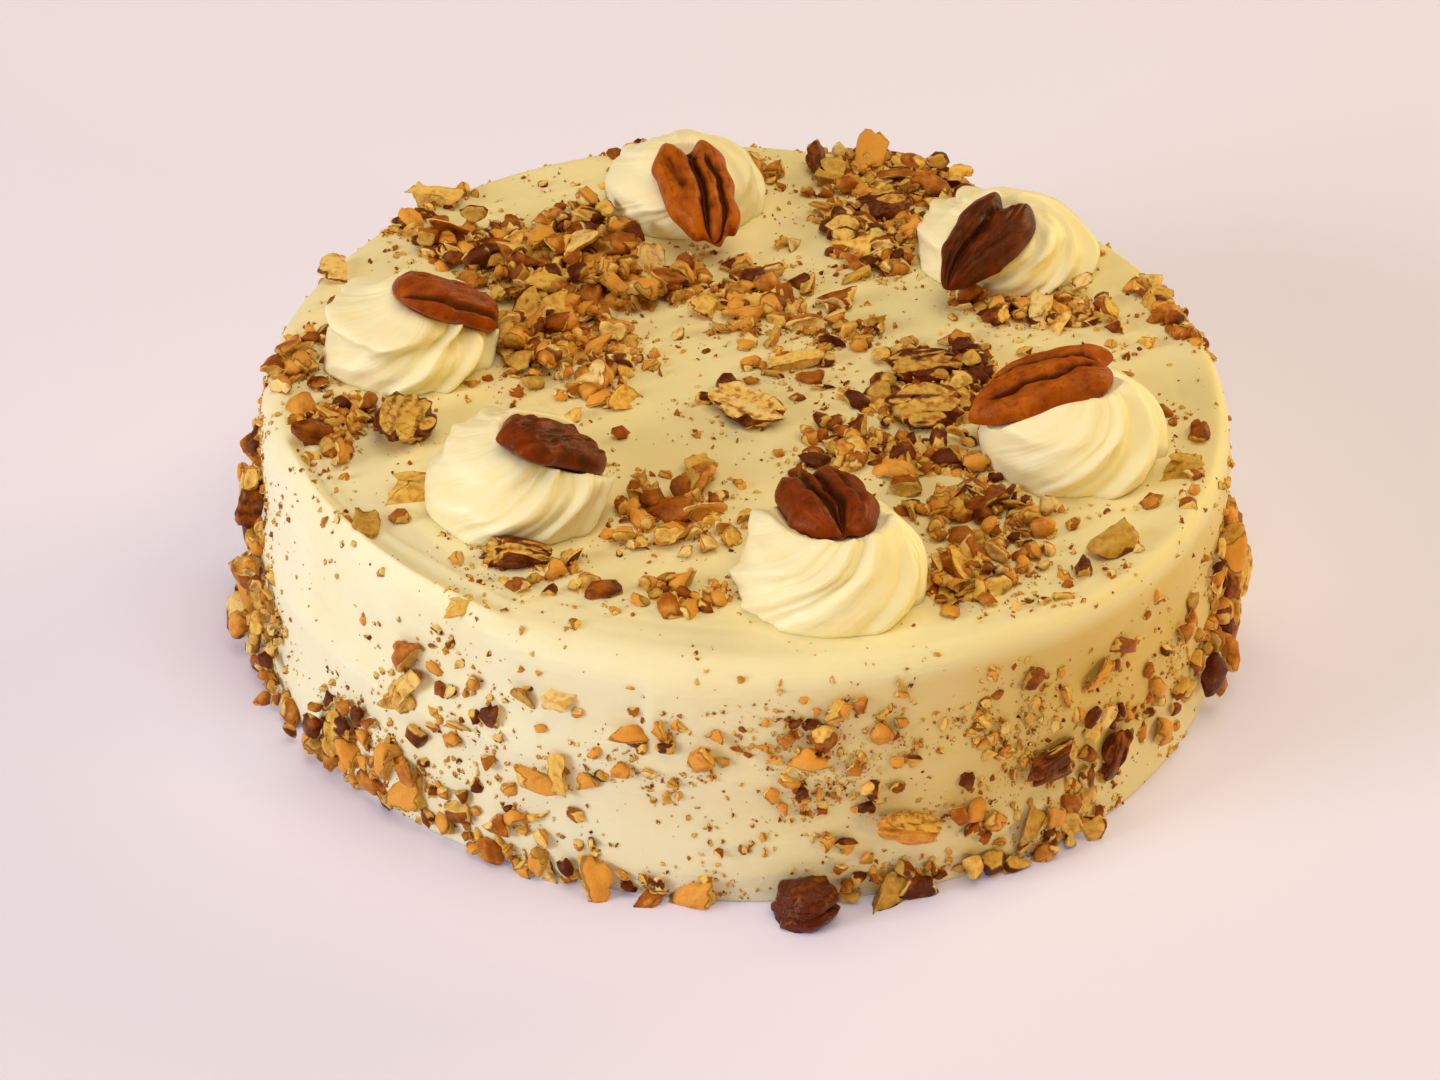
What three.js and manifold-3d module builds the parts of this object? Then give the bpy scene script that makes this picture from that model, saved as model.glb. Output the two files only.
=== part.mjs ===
// A round carrot cake, 8 inch tin size, covered in cream-cheese frosting.
// On top stand six piped swirls, each with a pecan half leaning on it, among
// chopped pecans that also cling to the side and gather round the foot.
// Millimetres, +Z up, origin at the centre of the foot, front of the cake at -Y.
import * as THREE from 'three';
import { mergeVertices } from 'three/addons/utils/BufferGeometryUtils.js';
import Module from 'manifold-3d';

const wasm = await Module();
wasm.setup();

// ---------------------------------------------------------------- dimensions
const TOP_RADIUS = 103;
const FOOT_RADIUS = 106;
const CAKE_HEIGHT = 57.6;
const RIM_ROUND = 3.2;
const AROUND = 54; // facets round the cake
const GAP = 0.3; // between pieces that touch

// The palette knife leaves level bands round the side, and broader sweeps.
const KNIFE = { bandDepth: 0.4, bandPitch: 3.3, sweepDepth: 0.5, unevenDepth: 0.3, unevenPitch: 12 };
// A ridge of frosting that the palette knife pushed up along the rim.
const LIP = { from: 194, to: 246, fade: 9, height: 1.5, width: 5, rest: 0.25, waver: 0.2 };
// Where the knife lifted off the side: a low step that runs down to nothing.
const SEAM = { at: 308, rise: 5, fall: 32, step: 0.9 };

const RIDGES = 9; // ridges that the piping nozzle cuts
const RIDGE_STEPS = 3; // facets to a ridge
const RIDGE = { sharpness: 1.3, depthAtFoot: 0.2, depthAtPeak: 0.3 };
const SWIRL_TURN = { degrees: 95, quickening: 1.3 }; // how far a ridge turns on its way up
const SWIRLS = [
  { name: 'rosette_1', x: 18.1, y: -72.7, radius: 20.0, height: 19.5, phase: -112 },
  { name: 'rosette_2', x: -46.8, y: -46.2, radius: 19.6, height: 19.0, phase: 147 },
  { name: 'rosette_3', x: -74.0, y: 7.2, radius: 18.2, height: 18.5, phase: -106 },
  { name: 'rosette_4', x: -16.3, y: 75.7, radius: 18.4, height: 16.5, phase: 20 },
  { name: 'rosette_5', x: 56.4, y: 57.1, radius: 20.0, height: 15.0, phase: -73 },
  { name: 'rosette_6', x: 68.9, y: -19.9, radius: 20.4, height: 20.0, phase: -108 },
];

// heading: from the high outer end to the low inner end; rise: middle above the cake top.
const HALVES = [
  { name: 'pecan_half_1', x: 16.1, y: -62.5, rise: 12.4, heading: 104, dip: 11, length: 32, width: 20 },
  { name: 'pecan_half_2', x: -40.0, y: -47.6, rise: 13.0, heading: 40, dip: 32, length: 30, width: 17 },
  { name: 'pecan_half_3', x: -65.6, y: 6.6, rise: 12.8, heading: 38, dip: 31, length: 29, width: 17 },
  { name: 'pecan_half_4', x: -13.0, y: 60.2, rise: 11.4, heading: -73, dip: 17, length: 32, width: 19 },
  { name: 'pecan_half_5', x: 50.7, y: 44.0, rise: 11.0, heading: -119, dip: 11, length: 33, width: 19 },
  { name: 'pecan_half_6', x: 62.1, y: -17.5, rise: 12.8, heading: -167, dip: 15, length: 35, width: 18 },
];
const HALF_THICKNESS = 8.5;
const HALF_ROUND = 16; // facets round a half
const HALF_STATIONS = 8; // and along it
const GROOVE = { at: 0.38, width: 0.15, depth: 0.34 }; // shares of the half width and of the back
const HALF_SHAPE = { fullness: 2.6, backFullness: 0.8, back: 0.62, face: 0.28, droop: 0.1, taper: 0.1 };
// The room cut for a half in the swirl under it, in steps that open it upwards.
const POCKET = { across: 1.2, deep: 1.4, steps: [0, 0.6, 1.2], below: 0.1 };

// Broken pecans as large as berries. On the side, x and y give way to angle and height.
const PIECES = [
  { name: 'pecan_piece_1', x: -72.0, y: -25.0, turn: 80, length: 18, width: 13.5, thickness: 8 },
  { name: 'pecan_piece_2', x: -0.5, y: -12.5, turn: -36, length: 19, width: 11, thickness: 5 },
  { name: 'pecan_piece_3', x: 37.5, y: -10.5, turn: 5, length: 17, width: 13, thickness: 7 },
  { name: 'pecan_piece_4', x: 37.5, y: 5.0, turn: 12, length: 17, width: 10, thickness: 6.5 },
  { name: 'pecan_piece_5', x: -46.2, y: -69.0, turn: -2, length: 15, width: 8, thickness: 5.5 },
  { name: 'pecan_piece_6', x: 29.6, y: 72.5, turn: 40, length: 13, width: 11, thickness: 6 },
  { name: 'pecan_piece_7', angle: -82, height: 3.6, turn: 8, length: 14, width: 10, thickness: 12 },
  { name: 'pecan_piece_8', angle: -70.5, height: 17.8, turn: -15, length: 16, width: 7, thickness: 5.5 },
  { name: 'pecan_piece_9', angle: -52.5, height: 23.5, turn: 12, length: 15, width: 8, thickness: 5 },
  { name: 'pecan_piece_10', angle: -42.5, height: 17, turn: 70, length: 12, width: 8, thickness: 5 },
  { name: 'pecan_piece_11', angle: -171, height: 34, turn: 80, length: 13, width: 9, thickness: 7 },
  { name: 'pecan_piece_12', angle: -8, height: 24, turn: 60, length: 13, width: 8.5, thickness: 6.5 },
];

// Chopped pecans lie in drifts. On top a drift is an ellipse: its middle, its
// half length and half width, the way it points in degrees, how many nuts, and
// how high they are piled, as a share of a nut's thickness.
const TOP_DRIFTS = [
  [-47, 47, 33, 12, -22, 22, 0.9],
  [-46, 15, 18, 12, 10, 9, 0.5],
  [2, 27, 26, 12, 0, 10, 0.3],
  [30, 88, 20, 8, -15, 9, 0.7],
  [23, 56, 14, 10, 60, 4, 0.3],
  [23, -28, 17, 7, 5, 6, 0.4],
  [54, -48, 15, 9, -30, 5, 0.3],
  [44, -67, 8, 8, 0, 3, 0.4],
  [-86, -24, 7, 12, 0, 3, 0.3],
  [-16, -48, 17, 13, -20, 6, 0.3],
  [62, 33, 17, 5, -8, 5, 0.5],
  [94, 32, 15, 4, -65, 4, 0.3],
  [-98, -4, 8, 4, 70, 2, 0.3],
  [-30, 97, 10, 3, 5, 2, 0.3],
  [-72, 69, 14, 3, 50, 2, 0.3],
  [9, 6, 8, 6, 0, 2, 0.3],
  [-26, -4, 8, 7, 0, 2, 0.3],
];
// Single nuts on top that lie apart: x, y, the way they point.
const TOP_SINGLES = [
  [-56.6, -85.5, 20],
  [-77.0, -59.4, 85],
  [-69.3, -46.0, 10],
  [-91.5, 38.0, 60],
  [-9.6, -33.6, 40],
  [75.0, -56.0, 30],
  [96.0, -13.0, 80],
  [91.0, -27.0, 10],
  [-28.0, -79.0, 10],
];
// On the side a drift is a patch: its middle angle and height, how far it
// reaches along the side and up it in millimetres, how many nuts, and the pile.
const SIDE_DRIFTS = [
  [-174, 22, 17, 24, 18, 1.1],
  [-134, 8, 16, 7, 7, 0.4],
  [-130, 34, 8, 8, 4, 0.3],
  [-107, 34, 26, 12, 6, 0.2],
  [-106, 2.0, 30, 3, 6, 0.5],
  [-82, 40, 9, 6, 2, 0.2],
  [-75, 2.0, 12, 3, 2, 0.4],
  [-50, 16, 14, 12, 5, 0.4],
  [-42, 34, 8, 10, 3, 0.3],
  [-12, 22, 20, 18, 9, 0.7],
  [30, 24, 40, 22, 6, 0.4],
  [85, 22, 44, 20, 7, 0.4],
  [140, 24, 44, 22, 7, 0.5],
];

const NUT = { shortest: 6.6, longest: 12.6, narrow: 0.5, broad: 0.78, flat: 0.36, thick: 0.55 };
const MOSTLY_SHORT = 1.4; // a power that makes long nuts rare
const LUMP_PULL = [0.84, 1.16]; // how far a lump's corners go in and out
const PIECE_SUNK = 0.12; // of its thickness, in the frosting
const SINGLE_LIFT = 0.2;
const TOP_LYING = { tilt: 0.5, lowest: 0.12 };
const SIDE_LYING = { tilt: 0.4, lowest: 0.08 };
const RIM_MARGIN = 2.5; // no nut on top lies nearer the rim
const LOWEST_NUT = 0.6;
const SIDE_MARGIN = 5; // no nut on the side lies nearer the rim
const CROWDING = 0.25; // of two lengths, between the middles of two nuts
const TRIES = 14; // for each nut of a drift
const SEEDS = { drifts: 20, pieces: 100, nuts: 500 };

const SIMPLIFYING = 0.06; // the most that joining the facets may move a surface
const FLOOR_SIZE = 400;
const FLOOR_THICKNESS = 40;

// ------------------------------------------------------------------- helpers
const radians = THREE.MathUtils.degToRad;

function mix(low, high, share) {
  return low + (high - low) * share;
}

// A repeatable stream of numbers from 0 to 1.
function drawsFrom(seed) {
  let state = seed >>> 0;
  return () => {
    state = (Math.imul(state, 1664525) + 1013904223) >>> 0;
    return state / 4294967296;
  };
}

function smooth(share) {
  const s = Math.min(1, Math.max(0, share));
  return s * s * (3 - 2 * s);
}

function wrapped(degreesRound) {
  return ((degreesRound % 360) + 360) % 360;
}

// Only positions are kept, shared corners are merged, and faces that close up
// to a line, as at the pole of a lathe, are dropped.
function bareGeometry(geometry) {
  geometry.deleteAttribute('normal');
  geometry.deleteAttribute('uv');
  const merged = mergeVertices(geometry, 1e-4);
  const corners = merged.index.array;
  const kept = [];
  for (let i = 0; i < corners.length; i += 3) {
    const [a, b, c] = [corners[i], corners[i + 1], corners[i + 2]];
    if (a !== b && b !== c && c !== a) kept.push(a, b, c);
  }
  merged.setIndex(kept);
  return merged;
}

// Moves every corner of a geometry by a rule that changes the vector it is given.
function reshape(geometry, rule) {
  const position = geometry.attributes.position;
  const corner = new THREE.Vector3();
  for (let i = 0; i < position.count; i += 1) {
    corner.fromBufferAttribute(position, i);
    rule(corner);
    position.setXYZ(i, corner.x, corner.y, corner.z);
  }
  return geometry;
}

function toSolid(geometry) {
  const mesh = new wasm.Mesh({
    numProp: 3,
    vertProperties: new Float32Array(geometry.attributes.position.array),
    triVerts: new Uint32Array(geometry.index.array),
  });
  return new wasm.Manifold(mesh);
}

function toGeometry(solid) {
  const mesh = solid.getMesh();
  const geometry = new THREE.BufferGeometry();
  geometry.setAttribute('position', new THREE.BufferAttribute(mesh.vertProperties, 3));
  geometry.setIndex(new THREE.BufferAttribute(mesh.triVerts, 1));
  return geometry;
}

// The main body of a cut or joined solid, without loose scraps or sealed hollows.
function wholeBody(solid) {
  const bodies = solid.simplify(SIMPLIFYING).decompose();
  bodies.sort((a, b) => b.volume() - a.volume());
  return bodies[0];
}

// --------------------------------------------------------------- frosted body
// How far the knife's broad sweeps push the side out at an angle and height.
function sideWave(angle, height) {
  const bands = KNIFE.bandDepth * Math.sin(height / KNIFE.bandPitch + 2 * Math.sin(angle));
  const sweeps = KNIFE.sweepDepth * Math.sin(2 * angle + 1.1);
  const uneven = KNIFE.unevenDepth * Math.sin(5 * angle + height / KNIFE.unevenPitch);
  return bands + sweeps + uneven;
}

function seamStep(angle) {
  const past = wrapped(THREE.MathUtils.radToDeg(angle) - SEAM.at + SEAM.rise);
  if (past < SEAM.rise) return SEAM.step * smooth(past / SEAM.rise);
  return SEAM.step * (1 - smooth((past - SEAM.rise) / SEAM.fall));
}

function lipHeight(angle) {
  const round = wrapped(THREE.MathUtils.radToDeg(angle));
  const rising = smooth((round - LIP.from) / LIP.fade);
  const falling = smooth((LIP.to - round) / LIP.fade);
  return LIP.rest + LIP.height * rising * falling + LIP.waver * Math.sin(4 * angle);
}

function sideRadius(angle, height) {
  const taper = mix(FOOT_RADIUS, TOP_RADIUS, height / CAKE_HEIGHT);
  return taper + sideWave(angle, height) + seamStep(angle);
}

// Half of the cake's outline from the middle of the foot to the middle of the
// top. Each point is a height, and how far it lies inside the full radius.
const OUTLINE = [
  { height: 0, inside: FOOT_RADIUS },
  { height: 0, inside: 0.6 },
  { height: 2, inside: 0 },
  { height: 14, inside: 0 },
  { height: 27, inside: 0 },
  { height: 41, inside: 0 },
  { height: CAKE_HEIGHT - RIM_ROUND, inside: 0 },
  { height: CAKE_HEIGHT - 0.3 * RIM_ROUND, inside: 0.3 * RIM_ROUND },
  { height: CAKE_HEIGHT, inside: RIM_ROUND },
  { height: CAKE_HEIGHT, inside: RIM_ROUND + LIP.width },
  { height: CAKE_HEIGHT, inside: TOP_RADIUS },
];

// The whole frosted cake; grow makes it larger all round, as a cutting tool.
function frostedBody(grow) {
  const profile = OUTLINE.map((point) => {
    const full = mix(FOOT_RADIUS, TOP_RADIUS, point.height / CAKE_HEIGHT);
    return new THREE.Vector2(Math.max(0, full - point.inside), point.height);
  });
  const body = new THREE.LatheGeometry(profile, AROUND);
  body.rotateX(Math.PI / 2);
  const flatTopRadius = TOP_RADIUS - RIM_ROUND - 1;
  return reshape(bareGeometry(body), (corner) => {
    const reach = Math.hypot(corner.x, corner.y);
    if (reach < 1) {
      corner.z += corner.z > 1 ? grow : -grow;
      return;
    }
    const angle = Math.atan2(corner.y, corner.x);
    const relief = sideWave(angle, corner.z) + seamStep(angle);
    const onTop = corner.z > CAKE_HEIGHT - 0.01;
    const crest = onTop && reach > flatTopRadius ? lipHeight(angle) : 0;
    const wider = (reach + relief + grow) / reach;
    corner.x *= wider;
    corner.y *= wider;
    corner.z += crest;
    if (onTop) corner.z += grow;
    if (corner.z < 0.01) corner.z -= grow;
  });
}

// -------------------------------------------------------------- piped swirls
// Half outline of a swirl as shares of its radius and height, foot to peak.
const SWIRL_OUTLINE = [
  [0, 0],
  [0.93, 0],
  [1.0, 0.1],
  [0.95, 0.28],
  [0.79, 0.5],
  [0.56, 0.7],
  [0.3, 0.88],
  [0, 1],
];

// Sharp crests and rounded valleys: 1 on a crest, 0 in a valley.
function ridge(turnRound) {
  const share = Math.abs(((turnRound / (2 * Math.PI)) * RIDGES) % 1);
  return Math.abs(2 * share - 1) ** RIDGE.sharpness;
}

function swirl(spec, grow) {
  const radius = spec.radius + grow;
  const height = spec.height + grow;
  const profile = SWIRL_OUTLINE.map(([out, up]) => new THREE.Vector2(out * radius, up * height));
  const lathe = new THREE.LatheGeometry(profile, RIDGES * RIDGE_STEPS);
  lathe.rotateX(Math.PI / 2);
  return reshape(bareGeometry(lathe), (corner) => {
    const reach = Math.hypot(corner.x, corner.y);
    if (reach < 0.01) return;
    const up = Math.max(0, corner.z / height);
    const angle = Math.atan2(corner.y, corner.x);
    const depth = mix(RIDGE.depthAtFoot, RIDGE.depthAtPeak, up);
    const out = reach * (1 - depth * (1 - ridge(angle)));
    const twist = radians(SWIRL_TURN.degrees) * up ** SWIRL_TURN.quickening;
    const turned = angle + radians(spec.phase) + twist;
    corner.x = out * Math.cos(turned);
    corner.y = out * Math.sin(turned);
  });
}

// -------------------------------------------------------------- pecan halves
// The rounded back with two long grooves beside a middle ridge, and a flat face.
// The lengthwise axis is X, and the end at -X is a little broader.
function pecanHalf(length, width, thickness) {
  const ball = new THREE.SphereGeometry(1, HALF_ROUND, HALF_STATIONS);
  ball.rotateZ(Math.PI / 2);
  return reshape(bareGeometry(ball), (corner) => {
    const along = corner.x;
    const across = Math.atan2(corner.y, corner.z);
    const end = Math.sqrt(Math.max(0, 1 - Math.abs(along) ** HALF_SHAPE.fullness));
    const side = Math.sin(across);
    const back = Math.cos(across);
    const groove = Math.exp(-(((Math.abs(side) - GROOVE.at) / GROOVE.width) ** 2));
    const arched = HALF_SHAPE.back * Math.abs(back) ** HALF_SHAPE.backFullness;
    const dome = back > 0 ? arched * (1 - GROOVE.depth * groove) : back * HALF_SHAPE.face;
    corner.x = (along * length) / 2;
    corner.y = ((side * end * width) / 2) * (1 - HALF_SHAPE.taper * along);
    corner.z = thickness * (dome * end - HALF_SHAPE.droop * along * along);
  });
}

function halfPlacing(spec) {
  const turn = new THREE.Euler(0, radians(spec.dip), radians(spec.heading), 'ZYX');
  const place = new THREE.Vector3(spec.x, spec.y, CAKE_HEIGHT + spec.rise);
  const matrix = new THREE.Matrix4().makeRotationFromEuler(turn);
  return matrix.setPosition(place);
}

// The space a pecan half needs in the swirl under it, open upwards.
function halfPocket(spec) {
  const { across, deep, steps, below } = POCKET;
  const slices = steps.map((up) => {
    const room = pecanHalf(spec.length + across, spec.width + across, HALF_THICKNESS + deep);
    room.translate(0, 0, up * HALF_THICKNESS - below);
    return toSolid(room.applyMatrix4(halfPlacing(spec)));
  });
  return wasm.Manifold.union(slices);
}

// ------------------------------------------------------------ broken pecans
// Turns a local frame, with Z away from the frosting, to where a piece lies.
function lyingOnTop(x, y, lift, turn, tilt) {
  const matrix = new THREE.Matrix4().makeRotationFromEuler(new THREE.Euler(0, tilt, turn, 'ZYX'));
  return matrix.setPosition(x, y, CAKE_HEIGHT + lift);
}

function lyingOnSide(angle, height, lift, turn, tilt) {
  const outward = new THREE.Vector3(Math.cos(angle), Math.sin(angle), 0);
  const tangent = new THREE.Vector3(-Math.sin(angle), Math.cos(angle), 0);
  const frame = new THREE.Matrix4().makeBasis(tangent, new THREE.Vector3(0, 0, 1), outward);
  frame.multiply(new THREE.Matrix4().makeRotationFromEuler(new THREE.Euler(0, tilt, turn, 'ZYX')));
  const reach = sideRadius(angle, height) + lift;
  return frame.setPosition(outward.x * reach, outward.y * reach, height);
}

// An uneven lump: a ball of flat faces whose corners are pulled in and out.
function lump(length, width, thickness, detail, seed) {
  const draw = drawsFrom(seed);
  const ball = bareGeometry(new THREE.IcosahedronGeometry(1, detail));
  return reshape(ball, (corner) => {
    const pull = mix(...LUMP_PULL, draw());
    corner.set(corner.x * length, corner.y * width, corner.z * thickness);
    corner.multiplyScalar(pull / 2);
  });
}

function brokenPiece(spec, number, grow) {
  const lift = (0.5 - PIECE_SUNK) * spec.thickness;
  const turn = radians(spec.turn);
  const placing =
    spec.angle === undefined
      ? lyingOnTop(spec.x, spec.y, lift, turn, 0)
      : lyingOnSide(radians(spec.angle), spec.height, lift, turn, 0);
  const [length, width, thickness] = [spec.length + grow, spec.width + grow, spec.thickness + grow];
  const shape = lump(length, width, thickness, 1, SEEDS.pieces + number);
  return toSolid(shape.applyMatrix4(placing));
}

// ------------------------------------------------------------- chopped nuts
function nutSize(draw) {
  const length = mix(NUT.shortest, NUT.longest, draw() ** MOSTLY_SHORT);
  const width = length * mix(NUT.narrow, NUT.broad, draw());
  const thickness = length * mix(NUT.flat, NUT.thick, draw());
  return { length, width, thickness };
}

// True if a nut at x, y on top stays clear of every swirl and broken piece.
function clearOnTop(x, y, length) {
  const half = 0.45 * length;
  if (Math.hypot(x, y) > TOP_RADIUS - RIM_MARGIN) return false;
  const swirlHit = SWIRLS.some((s) => Math.hypot(x - s.x, y - s.y) < s.radius - 0.5 + half);
  const pieceHit = PIECES.some((p) => {
    return p.x !== undefined && Math.hypot(x - p.x, y - p.y) < 0.42 * (p.length + p.width) / 2 + half;
  });
  return !swirlHit && !pieceHit;
}

// True if a nut on the side stays clear of the broken pieces there.
function clearOnSide(angle, height, length) {
  return !PIECES.some((p) => {
    if (p.angle === undefined) return false;
    const off = Math.atan2(Math.sin(angle - radians(p.angle)), Math.cos(angle - radians(p.angle)));
    return Math.hypot(off * FOOT_RADIUS, height - p.height) < 0.5 * (p.length + length);
  });
}

// True if a nut is not right on top of one that already lies there.
function apart(place, length, laid, crowding) {
  return !laid.some((other) => {
    return Math.hypot(place[0] - other[0], place[1] - other[1]) < crowding * (length + other[2]);
  });
}

function topNuts(draw) {
  const nuts = [];
  const laid = [];
  for (const [x, y, turn] of TOP_SINGLES) {
    const size = nutSize(draw);
    const lift = SINGLE_LIFT * size.thickness;
    nuts.push({ ...size, placing: lyingOnTop(x, y, lift, radians(turn), 0) });
    laid.push([x, y, size.length]);
  }
  for (const [middleX, middleY, along, across, pointing, count, pile] of TOP_DRIFTS) {
    const [cos, sin] = [Math.cos(radians(pointing)), Math.sin(radians(pointing))];
    for (let made = 0, tried = 0; made < count && tried < count * TRIES; tried += 1) {
      const size = nutSize(draw);
      const out = Math.sqrt(draw());
      const round = 2 * Math.PI * draw();
      const turn = 2 * Math.PI * draw();
      const tilt = mix(-TOP_LYING.tilt, TOP_LYING.tilt, draw());
      const lift = mix(TOP_LYING.lowest, pile, draw()) * size.thickness;
      const u = along * out * Math.cos(round);
      const v = across * out * Math.sin(round);
      const x = middleX + u * cos - v * sin;
      const y = middleY + u * sin + v * cos;
      if (!clearOnTop(x, y, size.length) || !apart([x, y], size.length, laid, CROWDING)) continue;
      nuts.push({ ...size, placing: lyingOnTop(x, y, lift, turn, tilt) });
      laid.push([x, y, size.length]);
      made += 1;
    }
  }
  return nuts;
}

function sideNuts(draw) {
  const nuts = [];
  const laid = [];
  for (const [middleAngle, middleHeight, reach, rise, count, pile] of SIDE_DRIFTS) {
    for (let made = 0, tried = 0; made < count && tried < count * TRIES; tried += 1) {
      const size = nutSize(draw);
      const out = Math.sqrt(draw());
      const round = 2 * Math.PI * draw();
      const turn = 2 * Math.PI * draw();
      const tilt = mix(-SIDE_LYING.tilt, SIDE_LYING.tilt, draw());
      const lift = mix(SIDE_LYING.lowest, pile, draw()) * size.thickness;
      const angle = radians(middleAngle) + (reach * out * Math.cos(round)) / FOOT_RADIUS;
      const height = middleHeight + rise * out * Math.sin(round);
      const place = [angle * FOOT_RADIUS, height];
      if (height < LOWEST_NUT || height > CAKE_HEIGHT - SIDE_MARGIN) continue;
      if (!clearOnSide(angle, height, size.length)) continue;
      if (!apart(place, size.length, laid, CROWDING)) continue;
      nuts.push({ ...size, placing: lyingOnSide(angle, height, lift, turn, tilt) });
      laid.push([...place, size.length]);
      made += 1;
    }
  }
  return nuts;
}

function nutSolid(nut, number) {
  const shape = lump(nut.length, nut.width, nut.thickness, 0, SEEDS.nuts + number);
  return toSolid(shape.applyMatrix4(nut.placing));
}

// ------------------------------------------------------------------ assembly
const frosting = new THREE.MeshStandardMaterial({ color: 0xe9d7a6, roughness: 0.55, metalness: 0 });
const piping = new THREE.MeshStandardMaterial({ color: 0xf7e4b2, roughness: 0.5, metalness: 0 });
const pecanSkin = new THREE.MeshStandardMaterial({ color: 0x8e4419, roughness: 0.45, metalness: 0 });
const pecanFlesh = new THREE.MeshStandardMaterial({ color: 0xb9803f, roughness: 0.6, metalness: 0 });

function namedMesh(name, geometry, material) {
  const mesh = new THREE.Mesh(geometry, material);
  mesh.name = name;
  return mesh;
}

const halfGeometry = HALVES.map((spec) => pecanHalf(spec.length, spec.width, HALF_THICKNESS));
const roundCake = toSolid(frostedBody(GAP));
const pockets = wasm.Manifold.union(HALVES.map(halfPocket));

const floorSlab = new THREE.BoxGeometry(FLOOR_SIZE, FLOOR_SIZE, FLOOR_THICKNESS);
floorSlab.translate(0, 0, -FLOOR_THICKNESS / 2);
const underFloor = toSolid(bareGeometry(floorSlab));

const swirlRooms = SWIRLS.map((spec) => {
  return toSolid(swirl(spec, 2 * GAP).translate(spec.x, spec.y, CAKE_HEIGHT - GAP));
});
const keptClear = wasm.Manifold.union([roundCake, underFloor, pockets, ...swirlRooms]);
const brokenSolids = PIECES.map((spec, number) => {
  return wholeBody(brokenPiece(spec, number, 0).subtract(keptClear));
});

// The nuts are cut back wherever a swirl, a pecan half or a broken piece needs room.
function roomForOthers() {
  const pieceRooms = PIECES.map((spec, number) => brokenPiece(spec, number, 4 * GAP));
  return wasm.Manifold.union([...swirlRooms, ...pieceRooms, pockets, underFloor]);
}

const draw = drawsFrom(SEEDS.drifts);
const nuts = [...topNuts(draw), ...sideNuts(draw)];
const looseNuts = wasm.Manifold.union(nuts.map(nutSolid)).subtract(roomForOthers());
const cake = wholeBody(toSolid(frostedBody(0)).add(looseNuts));

const group = new THREE.Group();
group.add(namedMesh('cake', toGeometry(cake), frosting));

for (const spec of SWIRLS) {
  const standing = toSolid(swirl(spec, 0).translate(spec.x, spec.y, CAKE_HEIGHT + GAP));
  const hollowed = wholeBody(standing.subtract(pockets));
  const geometry = toGeometry(hollowed).translate(-spec.x, -spec.y, -CAKE_HEIGHT);
  const mesh = namedMesh(spec.name, geometry, piping);
  mesh.position.set(spec.x, spec.y, CAKE_HEIGHT);
  group.add(mesh);
}

HALVES.forEach((spec, number) => {
  const mesh = namedMesh(spec.name, halfGeometry[number], pecanSkin);
  halfPlacing(spec).decompose(mesh.position, mesh.quaternion, mesh.scale);
  group.add(mesh);
});

PIECES.forEach((spec, number) => {
  group.add(namedMesh(spec.name, toGeometry(brokenSolids[number]), pecanFlesh));
});

export default group;
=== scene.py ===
# %% [markdown]
# # A round carrot cake with piped swirls and pecans
#
# The real cake is one low round body under cream-cheese frosting. Six swirls are piped
# on top of it, a pecan half leans on each, and chopped pecans are strewn over the top,
# pressed on the side and fallen round the foot. The faceted solids of all that are
# loaded first, and each step gives one of them its real surface. Sizes are written in
# millimetres, because a baker's sizes are, and every mesh is made in metres from them.

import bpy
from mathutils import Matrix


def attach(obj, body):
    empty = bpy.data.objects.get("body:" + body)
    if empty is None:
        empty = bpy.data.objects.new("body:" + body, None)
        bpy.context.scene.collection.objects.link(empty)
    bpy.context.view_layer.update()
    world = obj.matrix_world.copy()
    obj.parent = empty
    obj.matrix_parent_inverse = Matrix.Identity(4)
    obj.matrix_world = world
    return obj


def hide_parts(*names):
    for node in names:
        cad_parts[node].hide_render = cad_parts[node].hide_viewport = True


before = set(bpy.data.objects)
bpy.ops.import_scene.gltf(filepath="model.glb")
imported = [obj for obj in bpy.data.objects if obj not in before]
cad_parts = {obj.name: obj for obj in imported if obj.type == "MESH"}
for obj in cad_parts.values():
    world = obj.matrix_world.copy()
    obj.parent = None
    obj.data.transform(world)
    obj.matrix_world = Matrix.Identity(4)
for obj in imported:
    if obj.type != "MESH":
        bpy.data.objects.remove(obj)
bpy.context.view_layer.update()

# %% Modules and the unit
import math

import bmesh
import bpy
import numpy as np
from mathutils import Matrix, Vector

MM = 0.001

# %% [markdown]
# ## Small helpers
#
# Food is uneven, but it has to come out the same every time. So every chance is drawn
# from a seeded stream, and every bump from a noise that depends on the place alone.
# The noise is written with arrays, since a mesh here has tens of thousands of points.

# %% Mixing, easing and drawing
DRAW_TIMES, DRAW_PLUS, DRAW_WITHIN = 1664525, 1013904223, 2**32


def mix(low, high, share):
    return low + (high - low) * share


def ease(share):
    """From 0 to 1 with soft ends, and flat beyond them."""
    within = np.clip(share, 0, 1)
    return within * within * (3 - 2 * within)


def bell(off, width):
    """1 in the middle, and falling away on both sides."""
    return np.exp(-((off / width) ** 2))


def out_from(x, y, heading, along, across):
    """The place so far along and across a heading, in degrees, from x and y."""
    cos, sin = math.cos(math.radians(heading)), math.sin(math.radians(heading))
    return x + along * cos - across * sin, y + along * sin + across * cos


def seen_from(x, y, heading, at_x, at_y):
    """How far along and across a heading a place lies from x and y."""
    cos, sin = math.cos(math.radians(heading)), math.sin(math.radians(heading))
    off_x, off_y = at_x - x, at_y - y
    return off_x * cos + off_y * sin, off_y * cos - off_x * sin


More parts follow.
